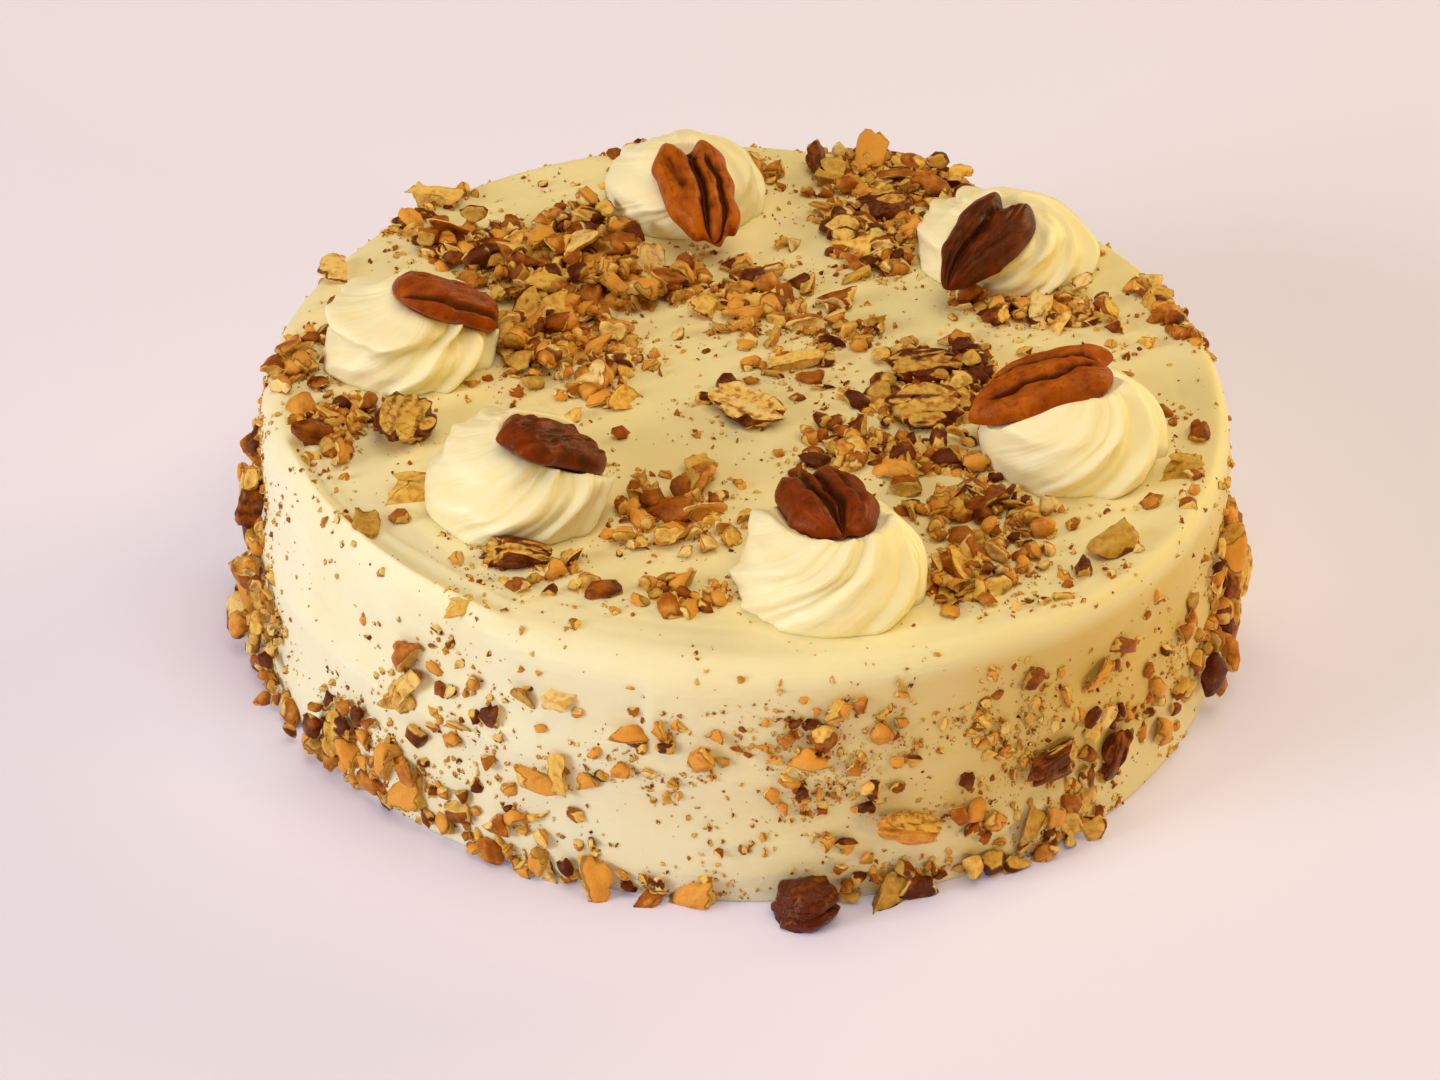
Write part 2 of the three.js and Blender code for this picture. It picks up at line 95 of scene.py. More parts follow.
def draws_from(seed):
    """A repeatable stream of numbers from 0 to 1, the one that the solids were strewn by."""
    state = seed

    def draw():
        nonlocal state
        state = (state * DRAW_TIMES + DRAW_PLUS) % DRAW_WITHIN
        return state / DRAW_WITHIN

    return draw


# %% Noise at a place
AXIS_KEYS = np.array([73856093, 19349663, 83492791])
SEED_KEY, FIRST_KEY, LAST_KEY = 2654435, 1274126177, 668265263
LOW_BITS = 0xFFFFFFFF


def scrambled(cells, seed=0):
    """A number from 0 to 1 for each row of three whole numbers."""
    key = cells.astype(np.int64) @ AXIS_KEYS
    key = (key + seed * SEED_KEY) & LOW_BITS
    key = ((key ^ (key >> 13)) * FIRST_KEY) & LOW_BITS
    return (((key ^ (key >> 15)) * LAST_KEY) & LOW_BITS) / 2**32


def noise(points, pitch, seed=0):
    """Smooth noise from -1 to 1 at rows of x, y, z. Pitch is a bump's size, or its three sizes."""
    scaled = np.asarray(points, float) / pitch
    cell = np.floor(scaled)
    part = scaled - cell
    part = part * part * (3 - 2 * part)
    total = np.zeros(len(scaled))
    for corner in np.ndindex(2, 2, 2):
        weight = np.where(corner, part, 1 - part).prod(axis=1)
        total += weight * (2 * scrambled(cell + corner, seed) - 1)
    return total


def layered_noise(points, pitch, seed=0, layers=3):
    """Noise with finer and fainter noise on top of it."""
    pitch = np.asarray(pitch, float)
    return sum(noise(points, pitch / 2**i, seed + i) / 2**i for i in range(layers))


# %% Making meshes
def mesh_piece(name, points, faces, marks=None):
    """A smooth-shaded object from points in millimetres; marks are numbers kept at the points."""
    mesh = bpy.data.meshes.new(name)
    mesh.from_pydata((np.asarray(points) * MM).tolist(), [], [list(f) for f in faces])
    for mark, values in (marks or {}).items():
        layer = mesh.attributes.new(mark, "FLOAT", "POINT")
        layer.data.foreach_set("value", np.asarray(values, np.float32))
    mesh.shade_smooth()
    piece = bpy.data.objects.new(name, mesh)
    bpy.context.collection.objects.link(piece)
    return piece


def closed_rings(rings):
    """Points and faces of a skin over rings, an array of ring, point round it and x, y, z.
    A pole closes each end. The rings turn left when they are seen from the last one's side."""
    count, around = rings.shape[:2]
    points = np.vstack([rings[0].mean(0), rings.reshape(-1, 3), rings[-1].mean(0)])
    start = 1 + around * np.arange(count)[:, None] + np.arange(around)
    after = np.roll(start, -1, axis=1)
    quads = np.stack([start[:-1], after[:-1], after[1:], start[1:]], -1).reshape(-1, 4)
    first = [(0, b, a) for a, b in zip(start[0], after[0])]
    last = [(len(points) - 1, a, b) for a, b in zip(start[-1], after[-1])]
    return points, [*first, *quads.tolist(), *last]


def points_of(mesh):
    """A mesh's points as an array in millimetres."""
    co = np.empty(len(mesh.vertices) * 3)
    mesh.vertices.foreach_get("co", co)
    return co.reshape(-1, 3) / MM


def move_points(mesh, points):
    mesh.vertices.foreach_set("co", (points * MM).astype(np.float32).ravel())
    mesh.update()


def triangles_of(piece):
    return sum(len(p.vertices) - 2 for p in piece.data.polygons)


# %% [markdown]
# ## Node trees in a few lines
#
# Both the finishes and the geometry trees are built with the same two helpers. One adds
# a node and fills or links its sockets, the other adds one Math node and hands back its
# result, so that a formula reads from the inside out.

# %% Adding nodes
def put(tree, kind, values=None, **settings):
    """Adds a node. Values are by socket name or number, each a plain value or a socket to link."""
    made = tree.nodes.new(kind)
    for setting, value in settings.items():
        setattr(made, setting, value)
    for key, value in (values or {}).items():
        if isinstance(value, bpy.types.NodeSocket):
            tree.links.new(value, made.inputs[key])
        else:
            made.inputs[key].default_value = value
    return made


def calc(tree, operation, *values):
    """The result of one Math node."""
    return put(tree, "ShaderNodeMath", dict(enumerate(values)), operation=operation).outputs[0]


def blend_colour(tree, share, low, high):
    """The colour between two colours, each plain or a socket."""
    values = {0: share, 6: low, 7: high}
    return put(tree, "ShaderNodeMix", values, data_type="RGBA").outputs[2]


def between(tree, value, low, high, to_low=0.0, to_high=1.0):
    """Takes the stretch from low to high of a value to another stretch, and stops at its ends."""
    values = {0: value, 1: low, 2: high, 3: to_low, 4: to_high}
    return put(tree, "ShaderNodeMapRange", values, interpolation_type="SMOOTHSTEP").outputs[0]


# %% Starting, ending and running a geometry tree
def new_geometry_tree(name, *sockets):
    """A tree with inputs, each a name and a kind, and the inputs' sockets by name."""
    tree = bpy.data.node_groups.new(name, "GeometryNodeTree")
    tree.interface.new_socket("Geometry", in_out="OUTPUT", socket_type="NodeSocketGeometry")
    for socket, kind in (("Geometry", "Geometry"), *sockets):
        tree.interface.new_socket(socket, in_out="INPUT", socket_type="NodeSocket" + kind)
    return tree, put(tree, "NodeGroupInput").outputs


def end_tree(tree, geometry, finish):
    """Gives the geometry its material and hands it out."""
    finished = put(tree, "GeometryNodeSetMaterial", {0: geometry, "Material": finish})
    put(tree, "NodeGroupOutput", {0: finished.outputs[0]})
    return tree


def run_tree(piece, tree, sizes):
    """Runs a geometry tree on a piece with these sizes and keeps the result as its plain mesh."""
    modifier = piece.modifiers.new(tree.name, "NODES")
    modifier.node_group = tree
    sockets = {s.name: s for s in tree.interface.items_tree if s.in_out == "INPUT"}
    for name, value in sizes.items():
        modifier[sockets[name].identifier] = value
    graph = bpy.context.evaluated_depsgraph_get()
    made = bpy.data.meshes.new_from_object(piece.evaluated_get(graph), depsgraph=graph)
    piece.modifiers.remove(modifier)
    piece.data = made
    made.name = piece.name


# %% Steps that the geometry trees share
def read_mark(tree, name, kind="FLOAT"):
    """What a mark says at each point."""
    named = put(tree, "GeometryNodeInputNamedAttribute", {"Name": name}, data_type=kind)
    return named.outputs["Attribute"]


def store_mark(tree, geometry, name, value, domain="POINT"):
    """The geometry with a mark of this name on its points or instances."""
    kind, values = "GeometryNodeStoreNamedAttribute", {0: geometry, "Name": name, "Value": value}
    return put(tree, kind, values, data_type="FLOAT", domain=domain).outputs[0]


def scaled(tree, vector, factor):
    values = {0: vector, "Scale": factor}
    return put(tree, "ShaderNodeVectorMath", values, operation="SCALE").outputs[0]


def chance(tree, seed, low=0.0, high=1.0, **number):
    """A random number for each point, or for each ID where that is given."""
    values = {2: low, 3: high, "Seed": seed, **number}
    return put(tree, "FunctionNodeRandomValue", values, data_type="FLOAT").outputs[1]


def three_chances(tree, seed, low, high):
    """Three random numbers for each point, each between two limits of its own."""
    values = {0: low, 1: high, "Seed": seed}
    return put(tree, "FunctionNodeRandomValue", values, data_type="FLOAT_VECTOR").outputs[0]


def set_on_points(tree, points, shapes, turn, size, **number):
    """Sets a shape from a shelf on each point, by chance or by an Instance Index."""
    shelf = {"Collection": shapes, "Separate Children": True, "Reset Children": True}
    values = {
        "Points": points,
        "Instance": put(tree, "GeometryNodeCollectionInfo", shelf).outputs[0],
        "Pick Instance": True,
        "Rotation": turn,
        "Scale": size,
        **number,
    }
    return put(tree, "GeometryNodeInstanceOnPoints", values).outputs[0]


def bumped(tree, geometry, size, depth):
    """Pushes a geometry about by a noise at its place."""
    place = put(tree, "GeometryNodeInputPosition").outputs[0]
    scale = calc(tree, "DIVIDE", 1.0, size)
    pattern = put(tree, "ShaderNodeTexNoise", {"Vector": place, "Scale": scale, "Detail": 2.0})
    values = {0: pattern.outputs["Color"], 1: (0.5, 0.5, 0.5)}
    centred = put(tree, "ShaderNodeVectorMath", values, operation="SUBTRACT").outputs[0]
    values = {0: geometry, "Offset": scaled(tree, centred, depth)}
    return put(tree, "GeometryNodeSetPosition", values).outputs[0]


# %% Handing a piece over
def serve(piece, slot, *nodes):
    """Puts a finished piece on the cake's body in place of its solids. What would reach
    below the surface the cake rests on is flattened on it."""
    points = points_of(piece.data)
    if points[:, 2].min() < 0:
        points[:, 2] = np.maximum(points[:, 2], 0)
        move_points(piece.data, points)
    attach(piece, "root")
    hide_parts(*nodes)
    print(f"{piece.name}: {triangles_of(piece)} triangles")


# %% [markdown]
# ## The camera
#
# The cake is seen from a little above, from far off and through a long lens, so that its
# round top stays a calm ellipse. The camera looks at a point behind the middle of the
# foot, and it is rolled by two degrees.

# %% Camera
LENS = 114.9
LOOKS_AT = Vector((-4.83, 23.48, 0))
CAMERA_DISTANCE = 1038.7
CAMERA_ELEVATION = math.radians(35.03)
CAMERA_ROLL = math.radians(2.244)

towards_camera = Vector((0, -math.cos(CAMERA_ELEVATION), math.sin(CAMERA_ELEVATION)))
camera = bpy.data.objects.new("camera", bpy.data.cameras.new("camera"))
bpy.context.collection.objects.link(camera)
camera.data.lens = LENS
camera.location = (LOOKS_AT + CAMERA_DISTANCE * towards_camera) * MM
facing = (-towards_camera).to_track_quat("-Z", "Y").to_matrix()
camera.rotation_euler = (facing @ Matrix.Rotation(CAMERA_ROLL, 3, "Z")).to_euler()
bpy.context.scene.camera = camera
print("camera at", camera.location)

# %% [markdown]
# ## The frosting's shape
#
# A palette knife smooths the frosting in level strokes round the side and flat ones over
# the top. It leaves low bands, finer streaks, a step where it lifts off, and a lip where
# it pushed frosting up over the rim. A turned outline with facets can't hold such marks,
# so the skin is a dense stack of rings whose radius and height follow formulas. The
# broad ones are those of the solid, and the finer ones are added here.

# %% Sizes of the frosted body
TOP_RADIUS = 103
FOOT_RADIUS = 106
CAKE_HEIGHT = 57.6
BANDS = {"depth": 0.4, "pitch": 3.3, "sway": 2}
SWEEPS = {"depth": 0.5, "count": 2, "turned": 1.1}
UNEVEN = {"depth": 0.3, "count": 5, "pitch": 12}
SEAM = {"at": 308, "rise": 5, "fall": 32, "step": 0.9}


def knife_relief(angle, height):
    """How far the broad strokes push the side out."""
    bands = BANDS["depth"] * np.sin(height / BANDS["pitch"] + BANDS["sway"] * np.sin(angle))
    sweeps = SWEEPS["depth"] * np.sin(SWEEPS["count"] * angle + SWEEPS["turned"])
    uneven = UNEVEN["depth"] * np.sin(UNEVEN["count"] * angle + height / UNEVEN["pitch"])
    past = (np.degrees(angle) - SEAM["at"] + SEAM["rise"]) % 360
    falling = 1 - ease((past - SEAM["rise"]) / SEAM["fall"])
    seam = SEAM["step"] * np.where(past < SEAM["rise"], ease(past / SEAM["rise"]), falling)
    return bands + sweeps + uneven + seam


def side_radius(angle, height):
    return mix(FOOT_RADIUS, TOP_RADIUS, height / CAKE_HEIGHT) + knife_relief(angle, height)


# %% Where the rim is crisp, soft or lipped
RIM = {"plain": 3.4, "soft": 7.0, "crisp": 2.2}
SOFT_FRONT = {"at": 262, "reach": 26}
CRISP_RIGHT = {"at": 326, "reach": 42}
LIP = {"from": 194, "to": 246, "fade": 9, "height": 1.5}


def past_heading(angle, heading):
    """Degrees from a heading to an angle, from -180 to 180."""
    return (np.degrees(angle) - heading + 180) % 360 - 180


def turned_off(angle, heading):
    """Degrees between an angle and a heading, from 0 to 180."""
    return np.abs(past_heading(angle, heading))


def lip_share(angle):
    """1 along the lip and 0 away from it."""
    round_turn = np.degrees(angle) % 360
    rising = ease((round_turn - LIP["from"]) / LIP["fade"])
    return rising * ease((LIP["to"] - round_turn) / LIP["fade"])


def rim_rounding(angle):
    soft = bell(turned_off(angle, SOFT_FRONT["at"]), SOFT_FRONT["reach"])
    crisp = bell(turned_off(angle, CRISP_RIGHT["at"]), CRISP_RIGHT["reach"])
    rounding = mix(mix(RIM["plain"], RIM["soft"], soft), RIM["crisp"], crisp)
    return mix(rounding, RIM["crisp"], lip_share(angle))


# %% Outline of the skin, ring by ring
AROUND = 480
SIDE_RINGS = 46
RIM_RINGS = 9
FOOT_RINGS = [(0, 40), (0, 3), (0, 0.6)]  # height, and how far inside the full radius
FOOT_EDGE = {"height": 1.0, "inside": 0.2, "reach": 0.02}
TOP_STEPS = [*np.arange(0.7, 15, 0.75), *np.arange(16, 100, 2.2)]  # closest near the rim


def outline_rings(angle):
    """Heights and how far inside the full radius, two arrays of ring and point round it."""
    rim, level = rim_rounding(angle), 0 * angle
    rings = [(height + level, inside + level) for height, inside in FOOT_RINGS]
    for share in np.linspace(0, 1, SIDE_RINGS):
        inside = FOOT_EDGE["inside"] * bell(share, FOOT_EDGE["reach"]) + level
        rings.append((mix(FOOT_EDGE["height"], CAKE_HEIGHT - rim, share), inside))
    for share in np.linspace(0, 1, RIM_RINGS)[1:]:
        quarter = share * math.pi / 2
        rings.append((CAKE_HEIGHT - rim * (1 - math.sin(quarter)), rim * (1 - math.cos(quarter))))
    for step in TOP_STEPS:
        rings.append((CAKE_HEIGHT + level, rim + step * (1 - rim / TOP_RADIUS)))
    heights, insides = zip(*rings)
    return np.array(heights), np.array(insides)


# %% Finer knife marks on the side
STREAK = {"depth": 0.22, "pitch": (75, 75, 4.6), "seed": 1}
FINE_STREAK = {"depth": 0.10, "pitch": (40, 40, 1.5), "seed": 4}
PATCH = {"at": -100, "low": 40, "high": 54, "step": 0.7, "reach": 9, "fade": 4}
STROKE_EDGES = [  # first and last angle, height at each, how far it stands out, half width
    (-66, -12, 7, 31, 0.8, 1.7),
    (-58, -20, 30, 44, 0.5, 2.2),
    (-152, -118, 40, 33, 0.5, 2.0),
]
EDGE_SWAY = {"height": 1.2, "waves": 9}
EDGE_FADE = 0.2  # of its length, at each end


def side_relief(points, angle):
    """Streaks of the knife's edge, where it was set down again, and the edges of strokes."""
    height = points[:, 2]
    relief = STREAK["depth"] * noise(points, STREAK["pitch"], STREAK["seed"])
    fine = layered_noise(points, FINE_STREAK["pitch"], FINE_STREAK["seed"], 2)
    relief += FINE_STREAK["depth"] * fine
    past = past_heading(angle, PATCH["at"])
    level = ease((height - PATCH["low"]) / PATCH["fade"])
    level *= ease((PATCH["high"] - height) / PATCH["fade"])
    patch = PATCH["step"] * level * np.where(past > 0, np.exp(-past / PATCH["reach"]), 0)
    for first, last, low, high, out, half_width in STROKE_EDGES:
        share = past_heading(angle, first) / (last - first)
        sway = EDGE_SWAY["height"] * np.sin(EDGE_SWAY["waves"] * share)
        edge = out * bell(height - mix(low, high, share) - sway, half_width)
        relief += edge * ease(share / EDGE_FADE) * ease((1 - share) / EDGE_FADE)
    return relief + patch


# %% The swell of the top, and its lip
SWELL = {"depth": 0.42, "pitch": 30, "seed": 9, "from_rim": 9}
TOP_STROKE = {"depth": 0.16, "pitch": (3.2, 34, 1), "turning": 30, "curving": 0.02, "seed": 12}
CREST = {"inside": 2.2, "width": 1.1, "uneven": 0.3, "pitch": 9, "seed": 21}
DIP = {"inside": 4.8, "width": 1.3, "depth": 0.5}
LOW_CREST = {"inside": 7.2, "width": 1.1, "height": 0.55, "sway": 1.2, "waves": 9}
PLAIN_RIM = {"inside": 3.5, "width": 3, "height": 0.25, "uneven": 0.2, "waves": 4}


def lip_relief(points, angle, inside):
    """The lip's crest, a dip behind it, and a lower crest that sways to and fro."""
    height = LIP["height"] + CREST["uneven"] * noise(points, CREST["pitch"], CREST["seed"])
    crest = height * bell(inside - CREST["inside"], CREST["width"])
    sway = LOW_CREST["sway"] * np.sin(LOW_CREST["waves"] * angle)
    low = LOW_CREST["height"] * bell(inside - LOW_CREST["inside"] + sway, LOW_CREST["width"])
    dip = DIP["depth"] * bell(inside - DIP["inside"], DIP["width"])
    return lip_share(angle) * (crest + (low - dip))


def top_relief(points, angle, inside):
    """The swell of the top, faint strokes across it, and the lip that stands along the rim."""
    reach = np.hypot(points[:, 0], points[:, 1])
    round_it = angle * TOP_STROKE["turning"] + TOP_STROKE["curving"] * reach**2
    strokes = np.stack([reach, round_it, 0 * reach], -1)
    swell = SWELL["depth"] * noise(points * (1, 1, 0), SWELL["pitch"], SWELL["seed"])
    fine = layered_noise(strokes, TOP_STROKE["pitch"], TOP_STROKE["seed"], 2)
    swell += TOP_STROKE["depth"] * fine
    rim = PLAIN_RIM["height"] + PLAIN_RIM["uneven"] * np.sin(PLAIN_RIM["waves"] * angle)
    rim = rim * bell(inside - PLAIN_RIM["inside"], PLAIN_RIM["width"])
    return swell * ease(inside / SWELL["from_rim"]) + lip_relief(points, angle, inside) + rim


# %% The skin
BROAD_MARKS_FROM = 60  # of the radius, inside which the side's marks fade from the top
SIDE_MARKS = {"above": 0.5, "fade": 3, "over_rim": 1.4}


def frosting_skin():
    angle = np.linspace(0, 2 * math.pi, AROUND, endpoint=False)
    heights, insides = outline_rings(angle)
    angles = np.broadcast_to(angle, heights.shape)
    full = mix(FOOT_RADIUS, TOP_RADIUS, heights / CAKE_HEIGHT)
    reach = np.maximum(full - insides, 1)
    reach = reach + knife_relief(angles, heights) * ease(reach / BROAD_MARKS_FROM)
    rings = np.stack([reach * np.cos(angles), reach * np.sin(angles), heights], -1)
    flat, turns, inside = rings.reshape(-1, 3), angles.ravel(), insides.ravel()
    on_side = ease((flat[:, 2] - SIDE_MARKS["above"]) / SIDE_MARKS["fade"])
    on_side *= ease(SIDE_MARKS["over_rim"] - inside / SIDE_MARKS["fade"])
    out = side_relief(flat, turns) * on_side
    flat[:, 0] += out * np.cos(turns)
    flat[:, 1] += out * np.sin(turns)
    rim = np.broadcast_to(rim_rounding(angle), heights.shape).ravel()
    on_top = ease((flat[:, 2] - CAKE_HEIGHT + rim) / rim)
    flat[:, 2] += top_relief(flat, turns, inside) * on_top
    return closed_rings(flat.reshape(rings.shape))


skin_points, skin_faces = frosting_skin()
print(len(skin_faces), "faces of frosting, up to", round(skin_points[:, 2].max(), 1), "mm high")

# %% [markdown]
# ## Where the chopped pecans lie
#
# They lie in drifts: thick behind and to the left on top, in a heap down the left side,
# and scattered over the rest. The solid was strewn by the same tables and the same
# seeded draws, so that each large nut here takes the place of one of its lumps.

# %% Swirls and broken pieces that nuts keep clear of
SWIRLS = [  # x, y, radius, height, turned by
    (18.1, -72.7, 20.0, 19.5, -112),
    (-46.8, -46.2, 19.6, 19.0, 147),
    (-74.0, 7.2, 18.2, 18.5, -106),
    (-16.3, 75.7, 18.4, 16.5, 20),
    (56.4, 57.1, 20.0, 15.0, -73),
    (68.9, -19.9, 20.4, 20.0, -108),
]
TOP_PIECES = [  # x, y, turned by, length, width, thickness
    (-72.0, -25.0, 80, 18, 13.5, 8),
    (-0.5, -12.5, -36, 19, 11, 5),
    (37.5, -10.5, 5, 17, 13, 7),
    (37.5, 5.0, 12, 17, 10, 6.5),
    (-46.2, -69.0, -2, 15, 8, 5.5),
    (29.6, 72.5, 40, 13, 11, 6),
]
SIDE_PIECES = [  # angle, height, turned by, length, width, thickness
    (-82, 3.6, 8, 14, 10, 12),
    (-70.5, 17.8, -15, 16, 7, 5.5),
    (-52.5, 23.5, 12, 15, 8, 5),
    (-42.5, 17, 70, 12, 8, 5),
    (-171, 34, 80, 13, 9, 7),
    (-8, 24, 60, 13, 8.5, 6.5),
]
PIECE_SUNK = 0.12

# %% Drifts on top and on the side
TOP_DRIFTS = [  # x, y, half length, half width, heading, nuts, pile
    (-47, 47, 33, 12, -22, 22, 0.9),
    (-46, 15, 18, 12, 10, 9, 0.5),
    (2, 27, 26, 12, 0, 10, 0.3),
    (30, 88, 20, 8, -15, 9, 0.7),
    (23, 56, 14, 10, 60, 4, 0.3),
    (23, -28, 17, 7, 5, 6, 0.4),
    (54, -48, 15, 9, -30, 5, 0.3),
    (44, -67, 8, 8, 0, 3, 0.4),
    (-86, -24, 7, 12, 0, 3, 0.3),
    (-16, -48, 17, 13, -20, 6, 0.3),
    (62, 33, 17, 5, -8, 5, 0.5),
    (94, 32, 15, 4, -65, 4, 0.3),
    (-98, -4, 8, 4, 70, 2, 0.3),
    (-30, 97, 10, 3, 5, 2, 0.3),
    (-72, 69, 14, 3, 50, 2, 0.3),
    (9, 6, 8, 6, 0, 2, 0.3),
    (-26, -4, 8, 7, 0, 2, 0.3),
]
TOP_SINGLES = [  # x, y, heading
    (-56.6, -85.5, 20),
    (-77.0, -59.4, 85),
    (-69.3, -46.0, 10),
    (-91.5, 38.0, 60),
    (-9.6, -33.6, 40),
    (75.0, -56.0, 30),
    (96.0, -13.0, 80),
    (91.0, -27.0, 10),
    (-28.0, -79.0, 10),
]
SIDE_DRIFTS = [  # angle, height, half length round, half height, nuts, pile
    (-174, 22, 17, 24, 18, 1.1),
    (-134, 8, 16, 7, 7, 0.4),
    (-130, 34, 8, 8, 4, 0.3),
    (-107, 34, 26, 12, 6, 0.2),
    (-106, 2.0, 30, 3, 6, 0.5),
    (-82, 40, 9, 6, 2, 0.2),
    (-75, 2.0, 12, 3, 2, 0.4),
    (-50, 16, 14, 12, 5, 0.4),
    (-42, 34, 8, 10, 3, 0.3),
    (-12, 22, 20, 18, 9, 0.7),
    (30, 24, 40, 22, 6, 0.4),
    (85, 22, 44, 20, 7, 0.4),
    (140, 24, 44, 22, 7, 0.5),
]

# %% How one nut lies
NUT = {"shortest": 6.6, "longest": 12.6, "narrow": 0.5, "broad": 0.78, "flat": 0.36, "thick": 0.55}
MOSTLY_SHORT = 1.4  # a power that makes long nuts rare
SINGLE_LIFT = 0.2


def turned_and_tilted(turn, tilt):
    return Matrix.Rotation(turn, 4, "Z") @ Matrix.Rotation(tilt, 4, "Y")


def lying_on_top(x, y, lift, turn, tilt=0.0):
    return Matrix.Translation((x, y, CAKE_HEIGHT + lift)) @ turned_and_tilted(turn, tilt)


def lying_on_side(angle, height, lift, turn, tilt=0.0):
    outward = Vector((math.cos(angle), math.sin(angle), 0))
    round_it = Vector((-math.sin(angle), math.cos(angle), 0))
    facing_out = Matrix((round_it, Vector((0, 0, 1)), outward)).transposed().to_4x4()
    place = float(side_radius(angle, height) + lift) * outward
    place.z = height
    return Matrix.Translation(place) @ facing_out @ turned_and_tilted(turn, tilt)


def nut_size(draw, kind=NUT):
    """Length, width and thickness."""
    length = mix(kind["shortest"], kind["longest"], draw() ** MOSTLY_SHORT)
    width = length * mix(kind["narrow"], kind["broad"], draw())
    return length, width, length * mix(kind["flat"], kind["thick"], draw())


# %% What a nut keeps clear of
NUT_REACH = 0.45  # of its length
PIECE_REACH = 0.42  # of a piece's mean of length and width
SIDE_REACH = 0.5  # of a piece's and a nut's length, on the side
SWIRL_TUCK = 0.5
RIM_MARGIN = 2.5
SIDE_MARGIN = 5
LOWEST_NUT = 0.6


def clear_on_top(x, y, length):
    half = NUT_REACH * length
    if math.hypot(x, y) > TOP_RADIUS - RIM_MARGIN:
        return False
    for at_x, at_y, radius, *_ in SWIRLS:
        if math.hypot(x - at_x, y - at_y) < radius - SWIRL_TUCK + half:
            return False
    for at_x, at_y, _, long, wide, _ in TOP_PIECES:
        if math.hypot(x - at_x, y - at_y) < PIECE_REACH * (long + wide) / 2 + half:
            return False
    return True


def clear_on_side(angle, height, length):
    if height < LOWEST_NUT or height > CAKE_HEIGHT - SIDE_MARGIN:
        return False
    for at, up, _, long, *_ in SIDE_PIECES:
        off = math.remainder(angle - math.radians(at), 2 * math.pi)
        if math.hypot(off * FOOT_RADIUS, height - up) < SIDE_REACH * (long + length):
            return False
    return True


def apart(x, y, length, laid, crowding):
    """Whether a nut lies clear of those laid before, by a share of the two lengths."""
    return all(
        math.hypot(x - other_x, y - other_y) >= crowding * (length + other)
        for other_x, other_y, other in laid
    )


# %% Strewing the drifts
CROWDING = 0.25
TRIES = 14
DRIFT_SEED = 20


def spot_on_top(drift, along, across):
    """Where a step from the middle of a drift leads on the top: x and y."""
    x, y, _, _, heading, *_ = drift
    return out_from(x, y, heading, along, across)


def spot_on_side(drift, along, across):
    """Where it leads on the side: angle and height."""
    at, up, *_ = drift
    return math.radians(at) + along / FOOT_RADIUS, up + across


def unrolled(angle, height):
    return angle * FOOT_RADIUS, height


def as_it_is(x, y):
    return x, y


TOP = {
    "spot": spot_on_top,
    "flat": as_it_is,
    "clear": clear_on_top,
    "lying": lying_on_top,
    "tilt": 0.5,
    "lowest": 0.12,
}
SIDE = {
    "spot": spot_on_side,
    "flat": unrolled,
    "clear": clear_on_side,
    "lying": lying_on_side,
    "tilt": 0.4,
    "lowest": 0.08,
}


def strew(draw, face, drifts, laid, kind=NUT, crowding=CROWDING):
    """The nuts of the drifts on one face of the cake, each a size and how it lies."""
    nuts = []
    for drift in drifts:
        half_length, half_width = drift[2:4]
        count, pile = drift[-2:]
        made = 0
        for _ in range(count * TRIES):
            if made == count:
                break
            size = nut_size(draw, kind)
            out = math.sqrt(draw())
            round_it, turn = 2 * math.pi * draw(), 2 * math.pi * draw()
            tilt = mix(-face["tilt"], face["tilt"], draw())
            lift = mix(face["lowest"], pile, draw()) * size[2]
            along = half_length * out * math.cos(round_it)
            across = half_width * out * math.sin(round_it)
            spot = face["spot"](drift, along, across)
            place = (*face["flat"](*spot), size[0])
            if face["clear"](*spot, size[0]) and apart(*place, laid, crowding):
                nuts.append((size, face["lying"](*spot, lift, turn, tilt)))
                laid.append(place)
                made += 1
    return nuts


# %% The large nuts, as in the solid
draw = draws_from(DRIFT_SEED)
laid_on_top = []
large_nuts = []
for x, y, heading in TOP_SINGLES:
    size = nut_size(draw)
    large_nuts.append((size, lying_on_top(x, y, SINGLE_LIFT * size[2], math.radians(heading))))
    laid_on_top.append((x, y, size[0]))
large_nuts += strew(draw, TOP, TOP_DRIFTS, laid_on_top)
laid_on_side = []
large_nuts += strew(draw, SIDE, SIDE_DRIFTS, laid_on_side)
print(len(large_nuts), "large nuts")

# %% [markdown]
# Between the large nuts lie smaller ones, which the solid leaves out. They have drifts
# of their own, because the knife's finer chips fell in more places than the big lumps.

